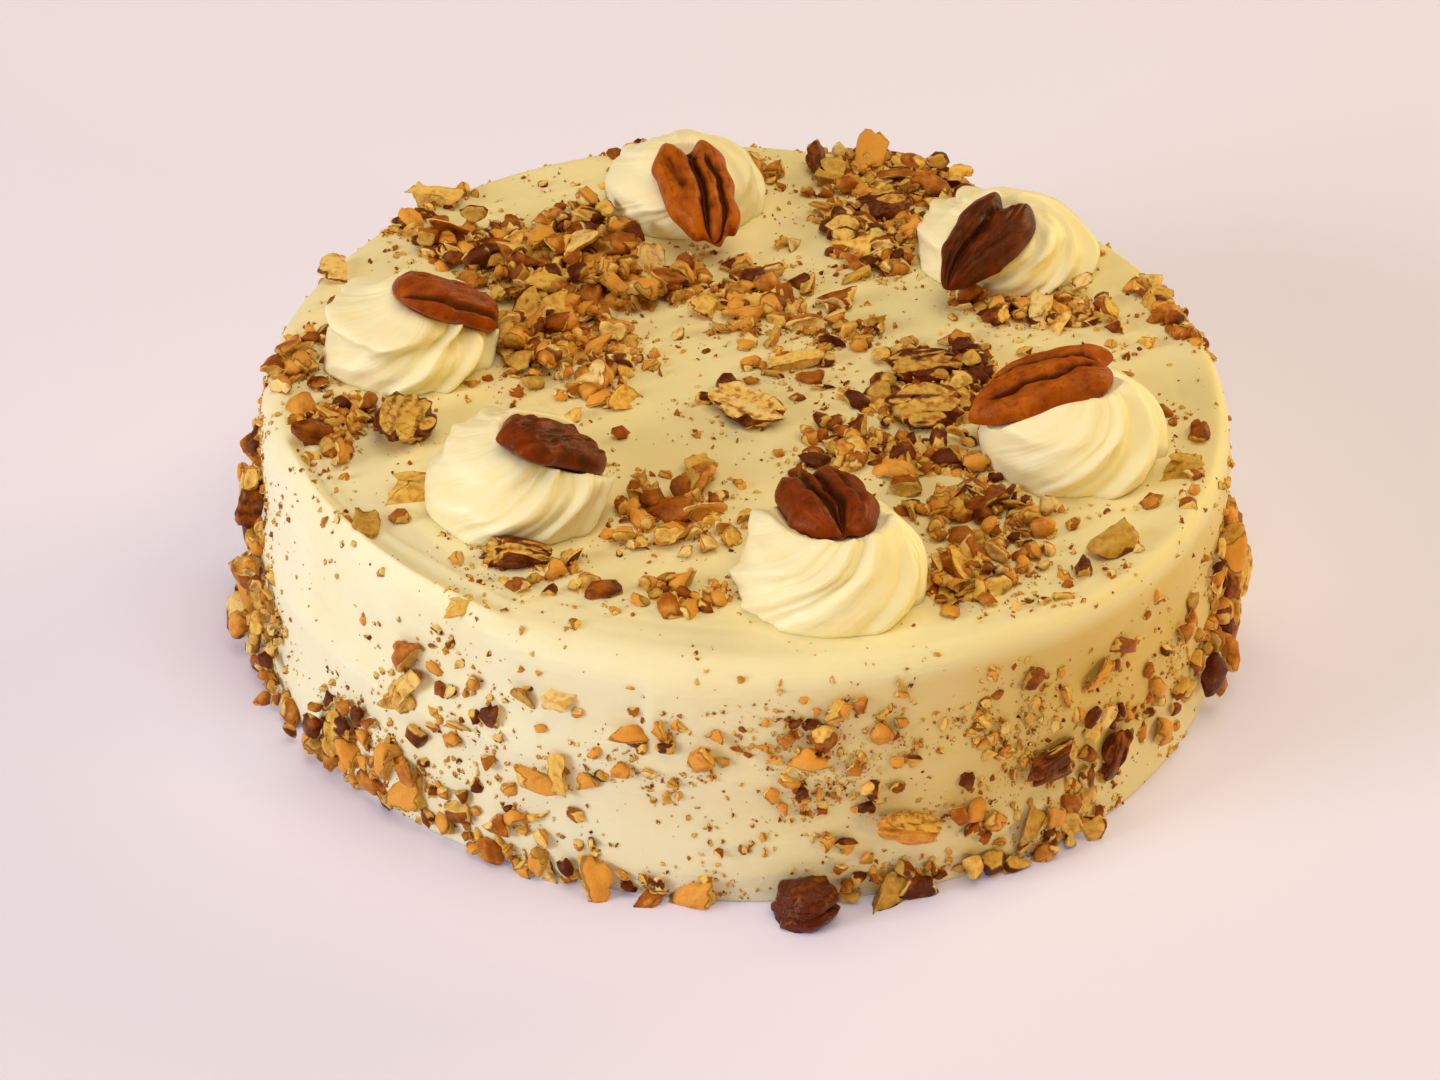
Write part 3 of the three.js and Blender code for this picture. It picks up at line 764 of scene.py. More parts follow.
# %% Drifts of the smaller nuts
FINE_TOP_DRIFTS = [  # x, y, half length, half width, heading, nuts, pile
    (-46, 42, 27, 16, -20, 84, 1.5),
    (-34, 62, 15, 8, -10, 34, 1.3),
    (-42, 12, 20, 13, 5, 48, 1.0),
    (-6, 38, 22, 9, -10, 32, 0.7),
    (12, 23, 19, 10, 0, 20, 0.4),
    (9, 5, 13, 8, 0, 10, 0.4),
    (32, 90, 16, 12, -20, 44, 1.3),
    (28, 64, 13, 17, 0, 42, 0.9),
    (62, 36, 19, 8, -10, 34, 1.0),
    (40, 8, 13, 14, 0, 30, 0.7),
    (34, -24, 25, 11, -8, 40, 0.8),
    (50, -50, 15, 12, -40, 28, 0.6),
    (45, -70, 10, 10, 0, 20, 0.9),
    (-16, -52, 16, 14, -30, 30, 0.6),
    (-88, -18, 9, 16, 0, 18, 0.5),
    (-38, -73, 14, 7, 0, 10, 0.4),
    (-4, -78, 20, 6, 5, 14, 0.3),
    (94, 34, 18, 4, -65, 20, 0.6),
    (-97, 2, 13, 5, 70, 14, 0.6),
    (-72, 69, 16, 3, 50, 8, 0.4),
    (-32, 98, 12, 4, 5, 8, 0.5),
    (-2, 84, 8, 15, 0, 7, 0.3),
    (84, -24, 12, 22, 0, 8, 0.3),
    (-20, -8, 34, 14, 10, 12, 0.3),
    (66, -66, 18, 9, 35, 8, 0.3),
    (-66, 55, 12, 10, 0, 9, 0.4),
    (0, 0, 96, 96, 0, 30, 0.2),
    (50, -44, 22, 16, -30, 26, 0.5),
    (30, 78, 18, 20, 0, 26, 0.8),
]
FINE_SIDE_DRIFTS = [  # angle, height, half length round, half height, nuts, pile
    (-174, 23, 16, 25, 60, 1.6),
    (-164, 12, 15, 13, 30, 1.2),
    (-161, 3, 24, 3, 34, 1.7),
    (-141, 2.5, 18, 2.5, 16, 1.2),
    (-138, 12, 14, 8, 18, 0.7),
    (-126, 34, 18, 12, 9, 0.3),
    (-112, 30, 18, 14, 9, 0.3),
    (-97, 36, 14, 8, 9, 0.4),
    (-122, 10, 22, 8, 16, 0.4),
    (-107, 3, 28, 3, 22, 0.7),
    (-78, 34, 18, 15, 18, 0.3),
    (-70, 16, 20, 12, 14, 0.4),
    (-75, 3.5, 18, 4, 18, 0.7),
    (-56, 34, 16, 13, 8, 0.3),
    (-48, 20, 18, 12, 10, 0.5),
    (-54, 4, 17, 4, 12, 0.6),
    (-30, 22, 16, 18, 14, 0.4),
    (-12, 23, 18, 20, 36, 0.9),
    (30, 24, 44, 22, 30, 0.5),
    (85, 22, 48, 20, 32, 0.5),
    (140, 24, 48, 22, 34, 0.6),
    (45, 3.5, 22, 4, 16, 0.6),
    (98, 3.5, 24, 4, 18, 0.6),
    (152, 3.5, 22, 4, 18, 0.7),
]
SIDE_CRUMBS = [  # angle, height, half length round, half height, how thickly they lie
    (-74, 32, 30, 14, 1.3),
    (-58, 32, 22, 14, 0.9),
    (-64, 14, 28, 10, 0.6),
    (-122, 8, 24, 6, 0.7),
    (-142, 3.5, 26, 4.5, 1.1),
    (-116, 3.5, 26, 4.5, 1.1),
    (-90, 3.5, 20, 4.5, 0.8),
    (-104, 20, 26, 14, 0.2),
    (-40, 26, 22, 20, 0.4),
]

# %% Smaller nuts between the large ones
SMALL_SEED = 77
SMALL_NUT = {"shortest": 3.2, "longest": 6.8, "narrow": 0.58, "broad": 0.92}
SMALL_NUT |= {"flat": 0.45, "thick": 0.75}
TOP_CROWDING = 0.13
LOOSE_CROWDING = 0.36

draw = draws_from(SMALL_SEED)
small_nuts = strew(draw, TOP, FINE_TOP_DRIFTS, laid_on_top, SMALL_NUT, TOP_CROWDING)
small_nuts += strew(draw, SIDE, FINE_SIDE_DRIFTS, laid_on_side, SMALL_NUT, LOOSE_CROWDING)
print(len(small_nuts), "smaller nuts")

# %% [markdown]
# ## What a chopped pecan looks like
#
# A knife breaks a pecan into lumps that keep a little of the brown, wrinkled skin on
# their round side and show pale flesh on the broken ones. So a lump starts as a ball,
# furrowed like the nut's back, and is then cut by planes: points beyond a plane drop
# onto it and are marked as flesh. A boolean would cut as well, but it would not mark the
# broken face for the finish. Cuts across give short chunks, cuts along give curled
# slivers with a dished inside, and cuts from all sides give crumbs.

# %% A ball of triangles
def ball(detail):
    """Points and faces of a round ball of triangles, 1 in radius."""
    made = bmesh.new()
    bmesh.ops.create_icosphere(made, subdivisions=detail, radius=1)
    points = np.array([v.co for v in made.verts])
    faces = [[v.index for v in f.verts] for f in made.faces]
    made.free()
    return points, faces


# %% Furrowing, breaking and curling it
FURROWS = {"count": 2.3, "depth": 0.24, "wander": 2.2, "pitch": 1.1}
LUMP_SWELL = {"share": 0.16, "pitch": 0.7}
BREAK = {"edge": 0.10, "from": 0.35, "soft": 0.045}
DISH = {"reach": 0.55, "wander": 0.25, "pitch": 0.8, "fade": 0.2}
CRAGS = {"pitch": 0.34, "layers": 3, "on_skin": 0.35}
SPLINTERS = {"share": 0.8, "pitch": (0.6, 0.13, 0.3)}
BREAK_ROUGHNESS = 0.06
LEAST_REACH = 0.2


def random_direction(draw):
    up = mix(-1, 1, draw())
    turn = 2 * math.pi * draw()
    level = math.sqrt(1 - up * up)
    return np.array([level * math.cos(turn), level * math.sin(turn), up])


def curled(points, bend):
    """Bends points round an axis across their length, so that both ends turn down."""
    turn, radius = bend * points[:, 0], 1 / bend
    x = (radius + points[:, 2]) * np.sin(turn)
    z = (radius + points[:, 2]) * np.cos(turn) - radius
    return np.stack([x, points[:, 1], z], -1)


def hollow(points, direction, beyond, depth, seed):
    """How deep a broken face is hollowed at each point, most in its middle."""
    level = points - (points @ direction)[:, None] * direction
    wander = DISH["wander"] * noise(points, DISH["pitch"], seed)
    off = np.linalg.norm(level + wander[:, None], axis=1)
    return depth * bell(off, DISH["reach"]) * np.clip(beyond / DISH["fade"], 0, 1)


def broken_lump(detail, cuts, seed, dish, bend, rough=BREAK_ROUGHNESS):
    """Points, faces and the flesh mark of a lump that is 1 long, wide and thick. Cuts are
    the directions of its broken faces and how far from the middle each one is. The first
    one is dished, as the inside of a pecan is."""
    points, faces = ball(detail)
    wander = FURROWS["wander"] * noise(points, FURROWS["pitch"], seed)
    furrows = np.cos(points[:, 1] * FURROWS["count"] * math.pi + wander)
    points = points * (1 - FURROWS["depth"] * np.maximum(furrows, 0) ** 3)[:, None]
    swell = LUMP_SWELL["share"] * noise(points, LUMP_SWELL["pitch"], seed + 1)
    points = points * (1 + swell)[:, None]
    flesh = np.zeros(len(points))
    for number, (direction, distance) in enumerate(cuts):
        beyond = points @ direction - distance
        flesh = np.maximum(flesh, np.clip(beyond / BREAK["edge"] + BREAK["from"], 0, 1))
        drop = BREAK["soft"] * np.logaddexp(0, beyond / BREAK["soft"])
        if number == 0:
            drop = drop + hollow(points, direction, beyond, dish, seed + 2)
        points = points - drop[:, None] * direction
    crags = layered_noise(points, CRAGS["pitch"], seed + 5, CRAGS["layers"])
    crags = crags * rough * (CRAGS["on_skin"] + flesh)
    crags += SPLINTERS["share"] * rough * noise(points, SPLINTERS["pitch"], seed + 8)
    outward = points / np.maximum(np.linalg.norm(points, axis=1), LEAST_REACH)[:, None]
    points = curled(points + crags[:, None] * outward, bend)
    low, high = points.min(0), points.max(0)
    return (points - (low + high) / 2) / (high - low), faces, flesh


# %% Chunks, slivers and crumbs
ACROSS = {"lean": 0.5, "ends": (0.25, 0.6), "third": (0.45, 0.7)}
ALONG = {"slant": 0.2, "length": (0.0, 0.3), "lean": 0.4, "end": (0.35, 0.7)}
ALL_ROUND = {"tries": 60, "closest": 0.4, "distance": (0.15, 0.5), "faces": 4}


def leaning(draw, end, reach):
    """A direction towards one end that leans to the sides by chance."""
    way = np.array([end, mix(-reach, reach, draw()), mix(-reach, reach, draw())])
    return way / np.linalg.norm(way)


def across_cuts(draw):
    """A break at each end, and a third one at times."""
    cuts = [(leaning(draw, end, ACROSS["lean"]), mix(*ACROSS["ends"], draw())) for end in (1, -1)]
    if draw() > 0.5:
        cuts.append((random_direction(draw), mix(*ACROSS["third"], draw())))
    return cuts


def along_cuts(draw):
    """A break along the length that takes up to half of the lump, and a broken end."""
    round_it = 2 * math.pi * draw()
    slant = mix(-ALONG["slant"], ALONG["slant"], draw())
    along = np.array([slant, math.cos(round_it), math.sin(round_it)])
    end = leaning(draw, 1, ALONG["lean"])
    cuts = [(along / np.linalg.norm(along), mix(*ALONG["length"], draw()))]
    return [*cuts, (end, mix(*ALONG["end"], draw()))]


def all_round_cuts(draw):
    """Four or five broken faces in directions that differ."""
    chosen = []
    for _ in range(ALL_ROUND["tries"]):
        direction = random_direction(draw)
        if all(direction @ other < ALL_ROUND["closest"] for other, _ in chosen):
            chosen.append((direction, mix(*ALL_ROUND["distance"], draw())))
        if len(chosen) == ALL_ROUND["faces"] + (draw() > 0.5):
            break
    return chosen


KINDS = [  # cuts, dish, bend, how many of every ten
    (across_cuts, 0.15, 0.5, 4),
    (along_cuts, 0.35, 0.9, 4),
    (all_round_cuts, 0.10, 0.2, 2),
]
KIND_STEP = 7  # mixes the kinds along a shelf
WARM_UP = 4  # draws that are left out, as close seeds start alike


def lump(detail, seed):
    """A lump of the kind that its seed stands for."""
    draw = draws_from(seed)
    for _ in range(WARM_UP):
        draw()
    kinds = [kind for kind in KINDS for _ in range(kind[-1])]
    cuts, dish, bend, _ = kinds[(seed * KIND_STEP) % len(kinds)]
    return broken_lump(detail, cuts(draw), seed, dish, bend)


# %% Shelves of lumps to choose from
LUMPS = {"count": 20, "detail": 3, "seed": 40}
SMALL_LUMPS = {"count": 20, "detail": 2, "seed": 140}
CRUMBS = {"count": 6, "detail": 1, "seed": 240}


def shelf_of(name, sizes):
    """A collection of shapes for a geometry tree to pick from; it isn't part of the scene.
    A shape is one metre long, wide and thick, so that a nut's size is its scale."""
    shelf = bpy.data.collections.new(name)
    for number in range(sizes["count"]):
        points, faces, flesh = lump(sizes["detail"], sizes["seed"] + number)
        shape = mesh_piece(f"{name}_{number:02d}", points / MM, faces, {"flesh": flesh})
        bpy.context.collection.objects.unlink(shape)
        shelf.objects.link(shape)
    return shelf


lumps = shelf_of("lump", LUMPS)
small_lumps = shelf_of("small_lump", SMALL_LUMPS)
crumbs = shelf_of("crumb", CRUMBS)

# %% [markdown]
# ## Strewing with Geometry Nodes
#
# Every nut is a point that carries its size, its turn, its tone and the number of its
# lump. The tree sets the lump on the point, makes the result real, and then pushes its
# surface in and out by a noise at its place, so that no two nuts come out the same.

# %% Tree that sets a lump on every point
def strewing_tree():
    tree, given = new_geometry_tree(
        "strewn_nuts",
        ("Shapes", "Collection"),
        ("Bump Size", "Float"),
        ("Bump Depth", "Float"),
        ("Finish", "Material"),
    )
    turned = read_mark(tree, "turned", "QUATERNION")
    size = read_mark(tree, "size", "FLOAT_VECTOR")
    number = {"Instance Index": read_mark(tree, "shape", "INT")}
    placed = set_on_points(tree, given["Geometry"], given["Shapes"], turned, size, **number)
    real = put(tree, "GeometryNodeRealizeInstances", {0: placed}).outputs[0]
    uneven = bumped(tree, real, given["Bump Size"], given["Bump Depth"])
    return end_tree(tree, uneven, given["Finish"])


strewn_nuts = strewing_tree()
print("strewn_nuts:", len(strewn_nuts.nodes), "nodes")


# %% Points that carry a nut each
TOASTED = [(39, 2, 24, -0.40), (-14, -52, 30, 0.30), (8, 12, 20, 0.20)]  # x, y, reach, tone added


def toasted(points, tones):
    """The tones, darker in one heap and lighter in two drifts, as they were toasted apart."""
    for x, y, reach, added in TOASTED:
        tones = tones + added * bell(np.hypot(points[:, 0] - x, points[:, 1] - y), reach)
    return np.clip(tones, 0, 1)


def nut_points(name, nuts, shapes, seed):
    """A mesh of bare points with the marks that the tree and the finish read."""
    draw = draws_from(seed)
    count = len(nuts)
    places = np.array([tuple(placing.translation) for _, placing in nuts])
    piece = mesh_piece(name, places, [])
    marks = {
        "turned": ("QUATERNION", "value", [tuple(placing.to_quaternion()) for _, placing in nuts]),
        "size": ("FLOAT_VECTOR", "vector", [tuple(s * MM for s in size) for size, _ in nuts]),
        "shape": ("INT", "value", [int(draw() * shapes) % shapes for _ in range(count)]),
        "tone": ("FLOAT", "value", toasted(places, np.array([draw() for _ in range(count)]))),
        "pale": ("FLOAT", "value", [draw() for _ in range(count)]),
    }
    for mark, (kind, field, values) in marks.items():
        layer = piece.data.attributes.new(mark, kind, "POINT")
        layer.data.foreach_set(field, np.array(values).ravel())
    return piece


# %% [markdown]
# ## Finish of the chopped pecans
#
# Skin is dark brown to golden and flesh is tan to cream, whatever the skin is. So the
# tone mark sets how light a nut's skin is and the pale mark does it for the flesh, and a
# noise at the place makes both of them patchy. Flesh has brown creases, which also serve as
# painted shade of dimples on its broad faces. A thin dark line runs round each broken face:
# partly the skin where the knife went through it, partly painted shade where the surface
# turns at the break's edge.

# %% What every finish needs
def new_finish(name):
    """A material with its tree, its shader and the place on the piece in metres."""
    finish = bpy.data.materials.new(name)
    finish.use_nodes = True
    tree = finish.node_tree
    place = put(tree, "ShaderNodeTexCoord").outputs["Object"]
    return finish, tree, tree.nodes["Principled BSDF"], place


def mark_of(tree, name):
    return put(tree, "ShaderNodeAttribute", attribute_name=name).outputs["Fac"]


def patches(tree, place, pitch, detail=3.0, seed=0.0):
    """Noise from about 0 to 1 with patches of this pitch in millimetres."""
    moved = put(tree, "ShaderNodeMapping", {"Vector": place, "Location": (seed, seed, seed)})
    values = {"Vector": moved.outputs[0], "Scale": 1 / (pitch * MM), "Detail": detail}
    return put(tree, "ShaderNodeTexNoise", values).outputs["Fac"]


def centred_patches(tree, place, pitch, detail=3.0, seed=0.0):
    return calc(tree, "SUBTRACT", patches(tree, place, pitch, detail, seed), 0.5)


def coat(tree, shader, colour, bumps, sockets, strength, depth):
    """Gives a shader its colour, bumps of a depth in millimetres, and plain values."""
    tree.links.new(colour, shader.inputs["Base Color"])
    values = {"Height": bumps, "Strength": strength, "Distance": depth * MM}
    tree.links.new(put(tree, "ShaderNodeBump", values).outputs[0], shader.inputs["Normal"])
    for socket, value in sockets.items():
        shader.inputs[socket].default_value = value


# %% Chopped pecan
SKIN_DARK = (0.095, 0.012, 0.002, 1)
SKIN_BROWN = (0.370, 0.095, 0.004, 1)
SKIN_GOLDEN = (0.770, 0.350, 0.052, 1)
FLESH_TAN = (0.540, 0.325, 0.058, 1)
FLESH_GOLDEN = (0.880, 0.550, 0.110, 1)
FLESH_PALE = (0.900, 0.680, 0.270, 1)
NUT_SURFACE = {
    "Specular IOR Level": 0.35,
    "Specular Tint": (1.0, 0.72, 0.42, 1),
    "Subsurface Weight": 0.3,
    "Subsurface Radius": (1.0, 0.5, 0.15),
    "Subsurface Scale": 1.2 * MM,
}
TO_BROWN, TO_GOLDEN = (0.05, 0.42), (0.38, 0.85)  # the tones between which the skin changes
FLESH_TO_GOLDEN, FLESH_TO_PALE = (0.15, 0.65), (0.60, 1.05)
# Creases: brown crevices of the flesh, used also as painted shade of dimples on broad faces.
CREASE_AND_SHADE_FROM = (0.56, 0.30)
RAGGED = 0.5  # how far the patches move the edge of a break
BREAK_AT, SKIN_TO_FLESH = 0.45, (0.30, 0.65)
# A dark line round each break: partly cut skin, partly painted shade where the surface turns at its
# edge.
DARK_LINE_AND_EDGE_SHADE = {"reach": (0.26, 0.06), "share": 0.6}


def flesh_colour(tree, place, grain, creased_and_shaded):
    toned = calc(tree, "MULTIPLY", grain, 0.45)
    pale = calc(tree, "MULTIPLY_ADD", mark_of(tree, "pale"), 0.75, toned)
    flesh = blend_colour(tree, between(tree, pale, *FLESH_TO_GOLDEN), FLESH_TAN, FLESH_GOLDEN)
    flesh = blend_colour(tree, between(tree, pale, *FLESH_TO_PALE), flesh, FLESH_PALE)
    # Brown creases, partly painted shade of dimples.
    creases_and_shade = between(tree, patches(tree, place, 1.6, 4.0, 0.9), *CREASE_AND_SHADE_FROM, 0.0, creased_and_shaded)
    return blend_colour(tree, creases_and_shade, flesh, SKIN_BROWN)


def chopped_pecan(name, roughness=0.45, creased_and_shaded=0.5):
    finish, tree, shader, place = new_finish(name)
    tone = calc(tree, "ADD", mark_of(tree, "tone"), centred_patches(tree, place, 3.0))
    skin = blend_colour(tree, between(tree, tone, *TO_BROWN), SKIN_DARK, SKIN_BROWN)
    skin = blend_colour(tree, between(tree, tone, *TO_GOLDEN), skin, SKIN_GOLDEN)
    grain = patches(tree, place, 1.1, 4.0, 0.3)
    ragged = calc(tree, "MULTIPLY", calc(tree, "SUBTRACT", grain, 0.5), RAGGED)
    broken = calc(tree, "ADD", mark_of(tree, "flesh"), ragged)
    flesh = flesh_colour(tree, place, grain, creased_and_shaded)
    colour = blend_colour(tree, between(tree, broken, *SKIN_TO_FLESH), skin, flesh)
    # The dark line at the skin's edge round each break, partly painted shade.
    off = calc(tree, "ABSOLUTE", calc(tree, "SUBTRACT", broken, BREAK_AT))
    line = between(tree, off, *DARK_LINE_AND_EDGE_SHADE["reach"], 0.0, DARK_LINE_AND_EDGE_SHADE["share"])
    colour = blend_colour(tree, line, colour, SKIN_DARK)
    fine = patches(tree, place, 0.7, 3.0, 0.7)
    surface = {"Roughness": roughness, **NUT_SURFACE}
    coat(tree, shader, colour, fine, surface, strength=0.8, depth=0.35)
    return finish


nut_finish = chopped_pecan("chopped_pecan")
print("chopped_pecan:", len(nut_finish.node_tree.nodes), "nodes")

# %% Strew the large and the smaller nuts
LARGE_BUMPS = {"Bump Size": 3.6 * MM, "Bump Depth": 2.0 * MM}
SMALL_BUMPS = {"Bump Size": 2.4 * MM, "Bump Depth": 0.9 * MM}

large = nut_points("chopped_pecans", large_nuts, LUMPS["count"], seed=5)
run_tree(large, strewn_nuts, {"Shapes": lumps, "Finish": nut_finish, **LARGE_BUMPS})
serve(large, "pecan_piece", "cake")
small = nut_points("fine_chopped_pecans", small_nuts, SMALL_LUMPS["count"], seed=6)
run_tree(small, strewn_nuts, {"Shapes": small_lumps, "Finish": nut_finish, **SMALL_BUMPS})
serve(small, "pecan_piece", "cake")

# %% [markdown]
# ## The bed of a heap
#
# In a thick heap the finest chips fill the gaps, too many and too small to be made one
# by one. So each heap gets a bed: a low mound whose top is cut into cells, each domed
# like a chip and lifted and toned by chance. The larger nuts and the crumbs lie on it.

# %% Heaps and their chips
HEAPS = [  # x, y, half length, half width, heading, height in the middle
    (-44, 45, 31, 15, -22, 3.2),
    (-42, 14, 19, 10, 5, 1.7),
    (31, 89, 16, 11, -20, 3.0),
    (27, 64, 11, 14, 0, 1.8),
    (62, 35, 17, 6, -10, 2.0),
    (36, -25, 20, 8, -8, 1.5),
    (44, -69, 9, 9, 0, 1.7),
    (-87, -20, 7, 12, 0, 1.4),
    (-4, 34, 18, 7, -10, 1.3),
    (40, -2, 15, 13, 10, 2.2),
]
CHIP = {"pitch": 2.5, "dome": 1.0, "round": 0.66, "scatter": 0.8, "low": 0.55, "high": 1.1}
FINE_CHIP = {"pitch": 1.2, "dome": 0.35}
HEAP_EDGE = {"wander": 0.22, "pitch": 9, "seed": 51, "from_rim": 3, "fade": 4}


def chips_at(points, pitch, seed):
    """How high each point of the plane lies on its nearest chip, and two chances of that chip."""
    cell = np.floor(points / (pitch, pitch, 1))
    nearest = np.full(len(points), np.inf)
    tone, flesh = np.zeros(len(points)), np.zeros(len(points))
    for step in np.ndindex(3, 3):
        own = cell + (step[0] - 1, step[1] - 1, 0)
        moved = CHIP["scatter"] * np.stack([scrambled(own, seed), scrambled(own, seed + 1)], -1)
        middle = own[:, :2] + 0.5 + moved - CHIP["scatter"] / 2
        off = np.hypot(*(points[:, :2] / pitch - middle).T)
        closer = off < nearest
        tone = np.where(closer, scrambled(own, seed + 2), tone)
        flesh = np.where(closer, scrambled(own, seed + 3), flesh)
        nearest = np.minimum(nearest, off)
    return np.sqrt(np.clip(1 - (nearest / CHIP["round"]) ** 2, 0, 1)), tone, flesh


def heap_height(points, heap):
    """Height of a heap's mound at each point, before its chips."""
    x, y, half_length, half_width, heading, height = heap
    along, across = seen_from(x, y, heading, points[:, 0], points[:, 1])
    wander = layered_noise(points * (1, 1, 0), HEAP_EDGE["pitch"], HEAP_EDGE["seed"], 2)
    edge = 1 + HEAP_EDGE["wander"] * wander
    reach = (along / half_length) ** 2 + (across / half_width) ** 2
    from_rim = TOP_RADIUS - HEAP_EDGE["from_rim"] - np.hypot(points[:, 0], points[:, 1])
    return height * np.clip(1 - reach / edge**2, 0, 1) * ease(from_rim / HEAP_EDGE["fade"])


# %% Beds of the heaps
BED_AROUND = 220
BED_RINGS = 60
SKIRT_RINGS = 8
SKIRT_DEPTH = 1.6
BED_REACH = {"size": 1.15, "skirt_from": 0.05, "edge": 1.1, "middle": 0.01}
BED_TONES = {"flesh": (6, 2.5), "pale": 7.3}  # a bed's marks, from the chances of its chips
BED_SUNK = 0.9
CHIPS_FADE = 0.5  # the height of the mound over which its chips come in
BED_SEED, FINE_BED_SEED = 61, 71


def bed_plan(heap):
    """Rings of places: first a skirt that closes the bed below, then the top from its edge in."""
    x, y, half_length, half_width, heading, _ = heap
    skirt = np.linspace(BED_REACH["skirt_from"], BED_REACH["edge"], SKIRT_RINGS)
    top = np.linspace(BED_REACH["edge"], BED_REACH["middle"], BED_RINGS)
    share = np.concatenate([skirt, top])[:, None]
    turn = np.linspace(0, 2 * math.pi, BED_AROUND, endpoint=False)[None, :]
    along = half_length * BED_REACH["size"] * share * np.cos(turn)
    across = half_width * BED_REACH["size"] * share * np.sin(turn)
    return np.stack([*out_from(x, y, heading, along, across), 0 * along], -1)


def heap_bed(number, heap):
    rings = bed_plan(heap)
    flat = rings.reshape(-1, 3)
    mound = heap_height(flat, heap)
    dome, tone, flesh = chips_at(flat, CHIP["pitch"], BED_SEED + number)
    fine, *_ = chips_at(flat, FINE_CHIP["pitch"], FINE_BED_SEED + number)
    chips = CHIP["dome"] * dome + FINE_CHIP["dome"] * fine
    lift = mound * mix(CHIP["low"], CHIP["high"], tone)
    lift = lift + chips * ease(mound / CHIPS_FADE) - BED_SUNK
    rings[..., 2] = CAKE_HEIGHT + lift.reshape(rings.shape[:2])
    rings[:SKIRT_RINGS, :, 2] = CAKE_HEIGHT - SKIRT_DEPTH
    points, faces = closed_rings(rings)
    times, less = BED_TONES["flesh"]
    marks = {
        "tone": toasted(flat, tone),
        "flesh": ease(times * flesh - less),
        "pale": BED_TONES["pale"] * tone % 1,
    }
    marks = {mark: np.pad(values, 1, "edge") for mark, values in marks.items()}
    bed = mesh_piece(f"heap_bed_{number}", points, faces, marks)
    bed.data.materials.append(nut_finish)
    return bed


for number, heap in enumerate(HEAPS, start=1):
    serve(heap_bed(number, heap), "pecan_piece", "cake")

# %% [markdown]
# ## Crumbs and dust
#
# Chopping leaves crumbs and dark dust, thick in the drifts and thin elsewhere. They are
# far too many to place one by one, so a tree scatters them over the frosting's skin by a
# density that is marked on its points. None fall under a swirl.

# %% How dusty the frosting is
PLAIN_DUST = 0.07
THICK = {"least": 0.1, "of_nuts": 10}
TOP_SPREAD = (1.1, 1.15)  # how much wider than its nuts a drift's crumbs lie
SIDE_SPREAD = (1.15, 1.2)
FOOT_DUST = {"share": 0.6, "up": 2, "reach": 4}
DUST_CLUSTER = {"pitch": 7.0, "seed": 31, "power": 1.5, "bare": 0.12, "full": 2.1}
TOP_FROM = CAKE_HEIGHT - 2.5
SWIRL_EDGE = 1.5
LOWEST_CRUMB = 0.3


def thickness_of(count, half_length, half_width):
    """How thickly a drift's crumbs lie, from how many nuts fell on its area."""
    return min(1, THICK["least"] + THICK["of_nuts"] * count / (half_length * half_width))


def dust_on_top(x, y):
    """How thickly the drifts' crumbs lie. The last drift lies on two heaps and leaves none."""
    dust = np.zeros(len(x))
    for at_x, at_y, half_length, half_width, heading, count, _ in FINE_TOP_DRIFTS[:-1]:
        along, across = seen_from(at_x, at_y, heading, x, y)
        thick = thickness_of(count, half_length, half_width)
        thick = thick * bell(along, half_length * TOP_SPREAD[0])
        dust = np.maximum(dust, thick * bell(across, half_width * TOP_SPREAD[1]))
    return dust


def dust_on_side(angle, height):
    dust = FOOT_DUST["share"] * bell(height - FOOT_DUST["up"], FOOT_DUST["reach"])
    drifts = [
        (at, up, reach * SIDE_SPREAD[0], rise * SIDE_SPREAD[1], thickness_of(count, reach, rise))
        for at, up, reach, rise, count, _ in FINE_SIDE_DRIFTS
    ]
    for at, up, reach, rise, thick in drifts + SIDE_CRUMBS:
        off = np.radians(turned_off(angle, at)) * FOOT_RADIUS
        dust = np.maximum(dust, thick * bell(off, reach) * bell(height - up, rise))
    return dust


def dust_on(points):
    """How thickly crumbs lie at each point: 1 is thick, and clusters go up to 2."""
    x, y, z = points.T
    on_top = z > TOP_FROM
    dust = PLAIN_DUST + np.where(on_top, dust_on_top(x, y), dust_on_side(np.arctan2(y, x), z))
    clusters = layered_noise(points, DUST_CLUSTER["pitch"], DUST_CLUSTER["seed"], 2)
    clustered = ease(0.5 + clusters) ** DUST_CLUSTER["power"]
    dust *= mix(DUST_CLUSTER["bare"], DUST_CLUSTER["full"], clustered)
    for at_x, at_y, radius, *_ in SWIRLS:
        dust *= 1 - on_top * (np.hypot(x - at_x, y - at_y) < radius - SWIRL_EDGE)
    return dust * (z > LOWEST_CRUMB)


def piled_on(points):
    """How high the heaps stand at each point, in metres."""
    on_top = points[:, 2] > TOP_FROM
    return MM * on_top * np.max([heap_height(points, heap) for heap in HEAPS], axis=0)


# %% Tree that scatters them
PILE_SHARE = 1.3  # how high in a heap a crumb may lie
MOSTLY_FINE = 2.2  # a power that makes large crumbs rare
LOWEST_MARKS = (("tone", 0.15, 5), ("pale", 0.2, 7))  # mark, lowest value, seed
SQUAT = ((0.7, 0.5, 0.35), (1.2, 0.9, 0.7))
FULL_TURN = 6.28


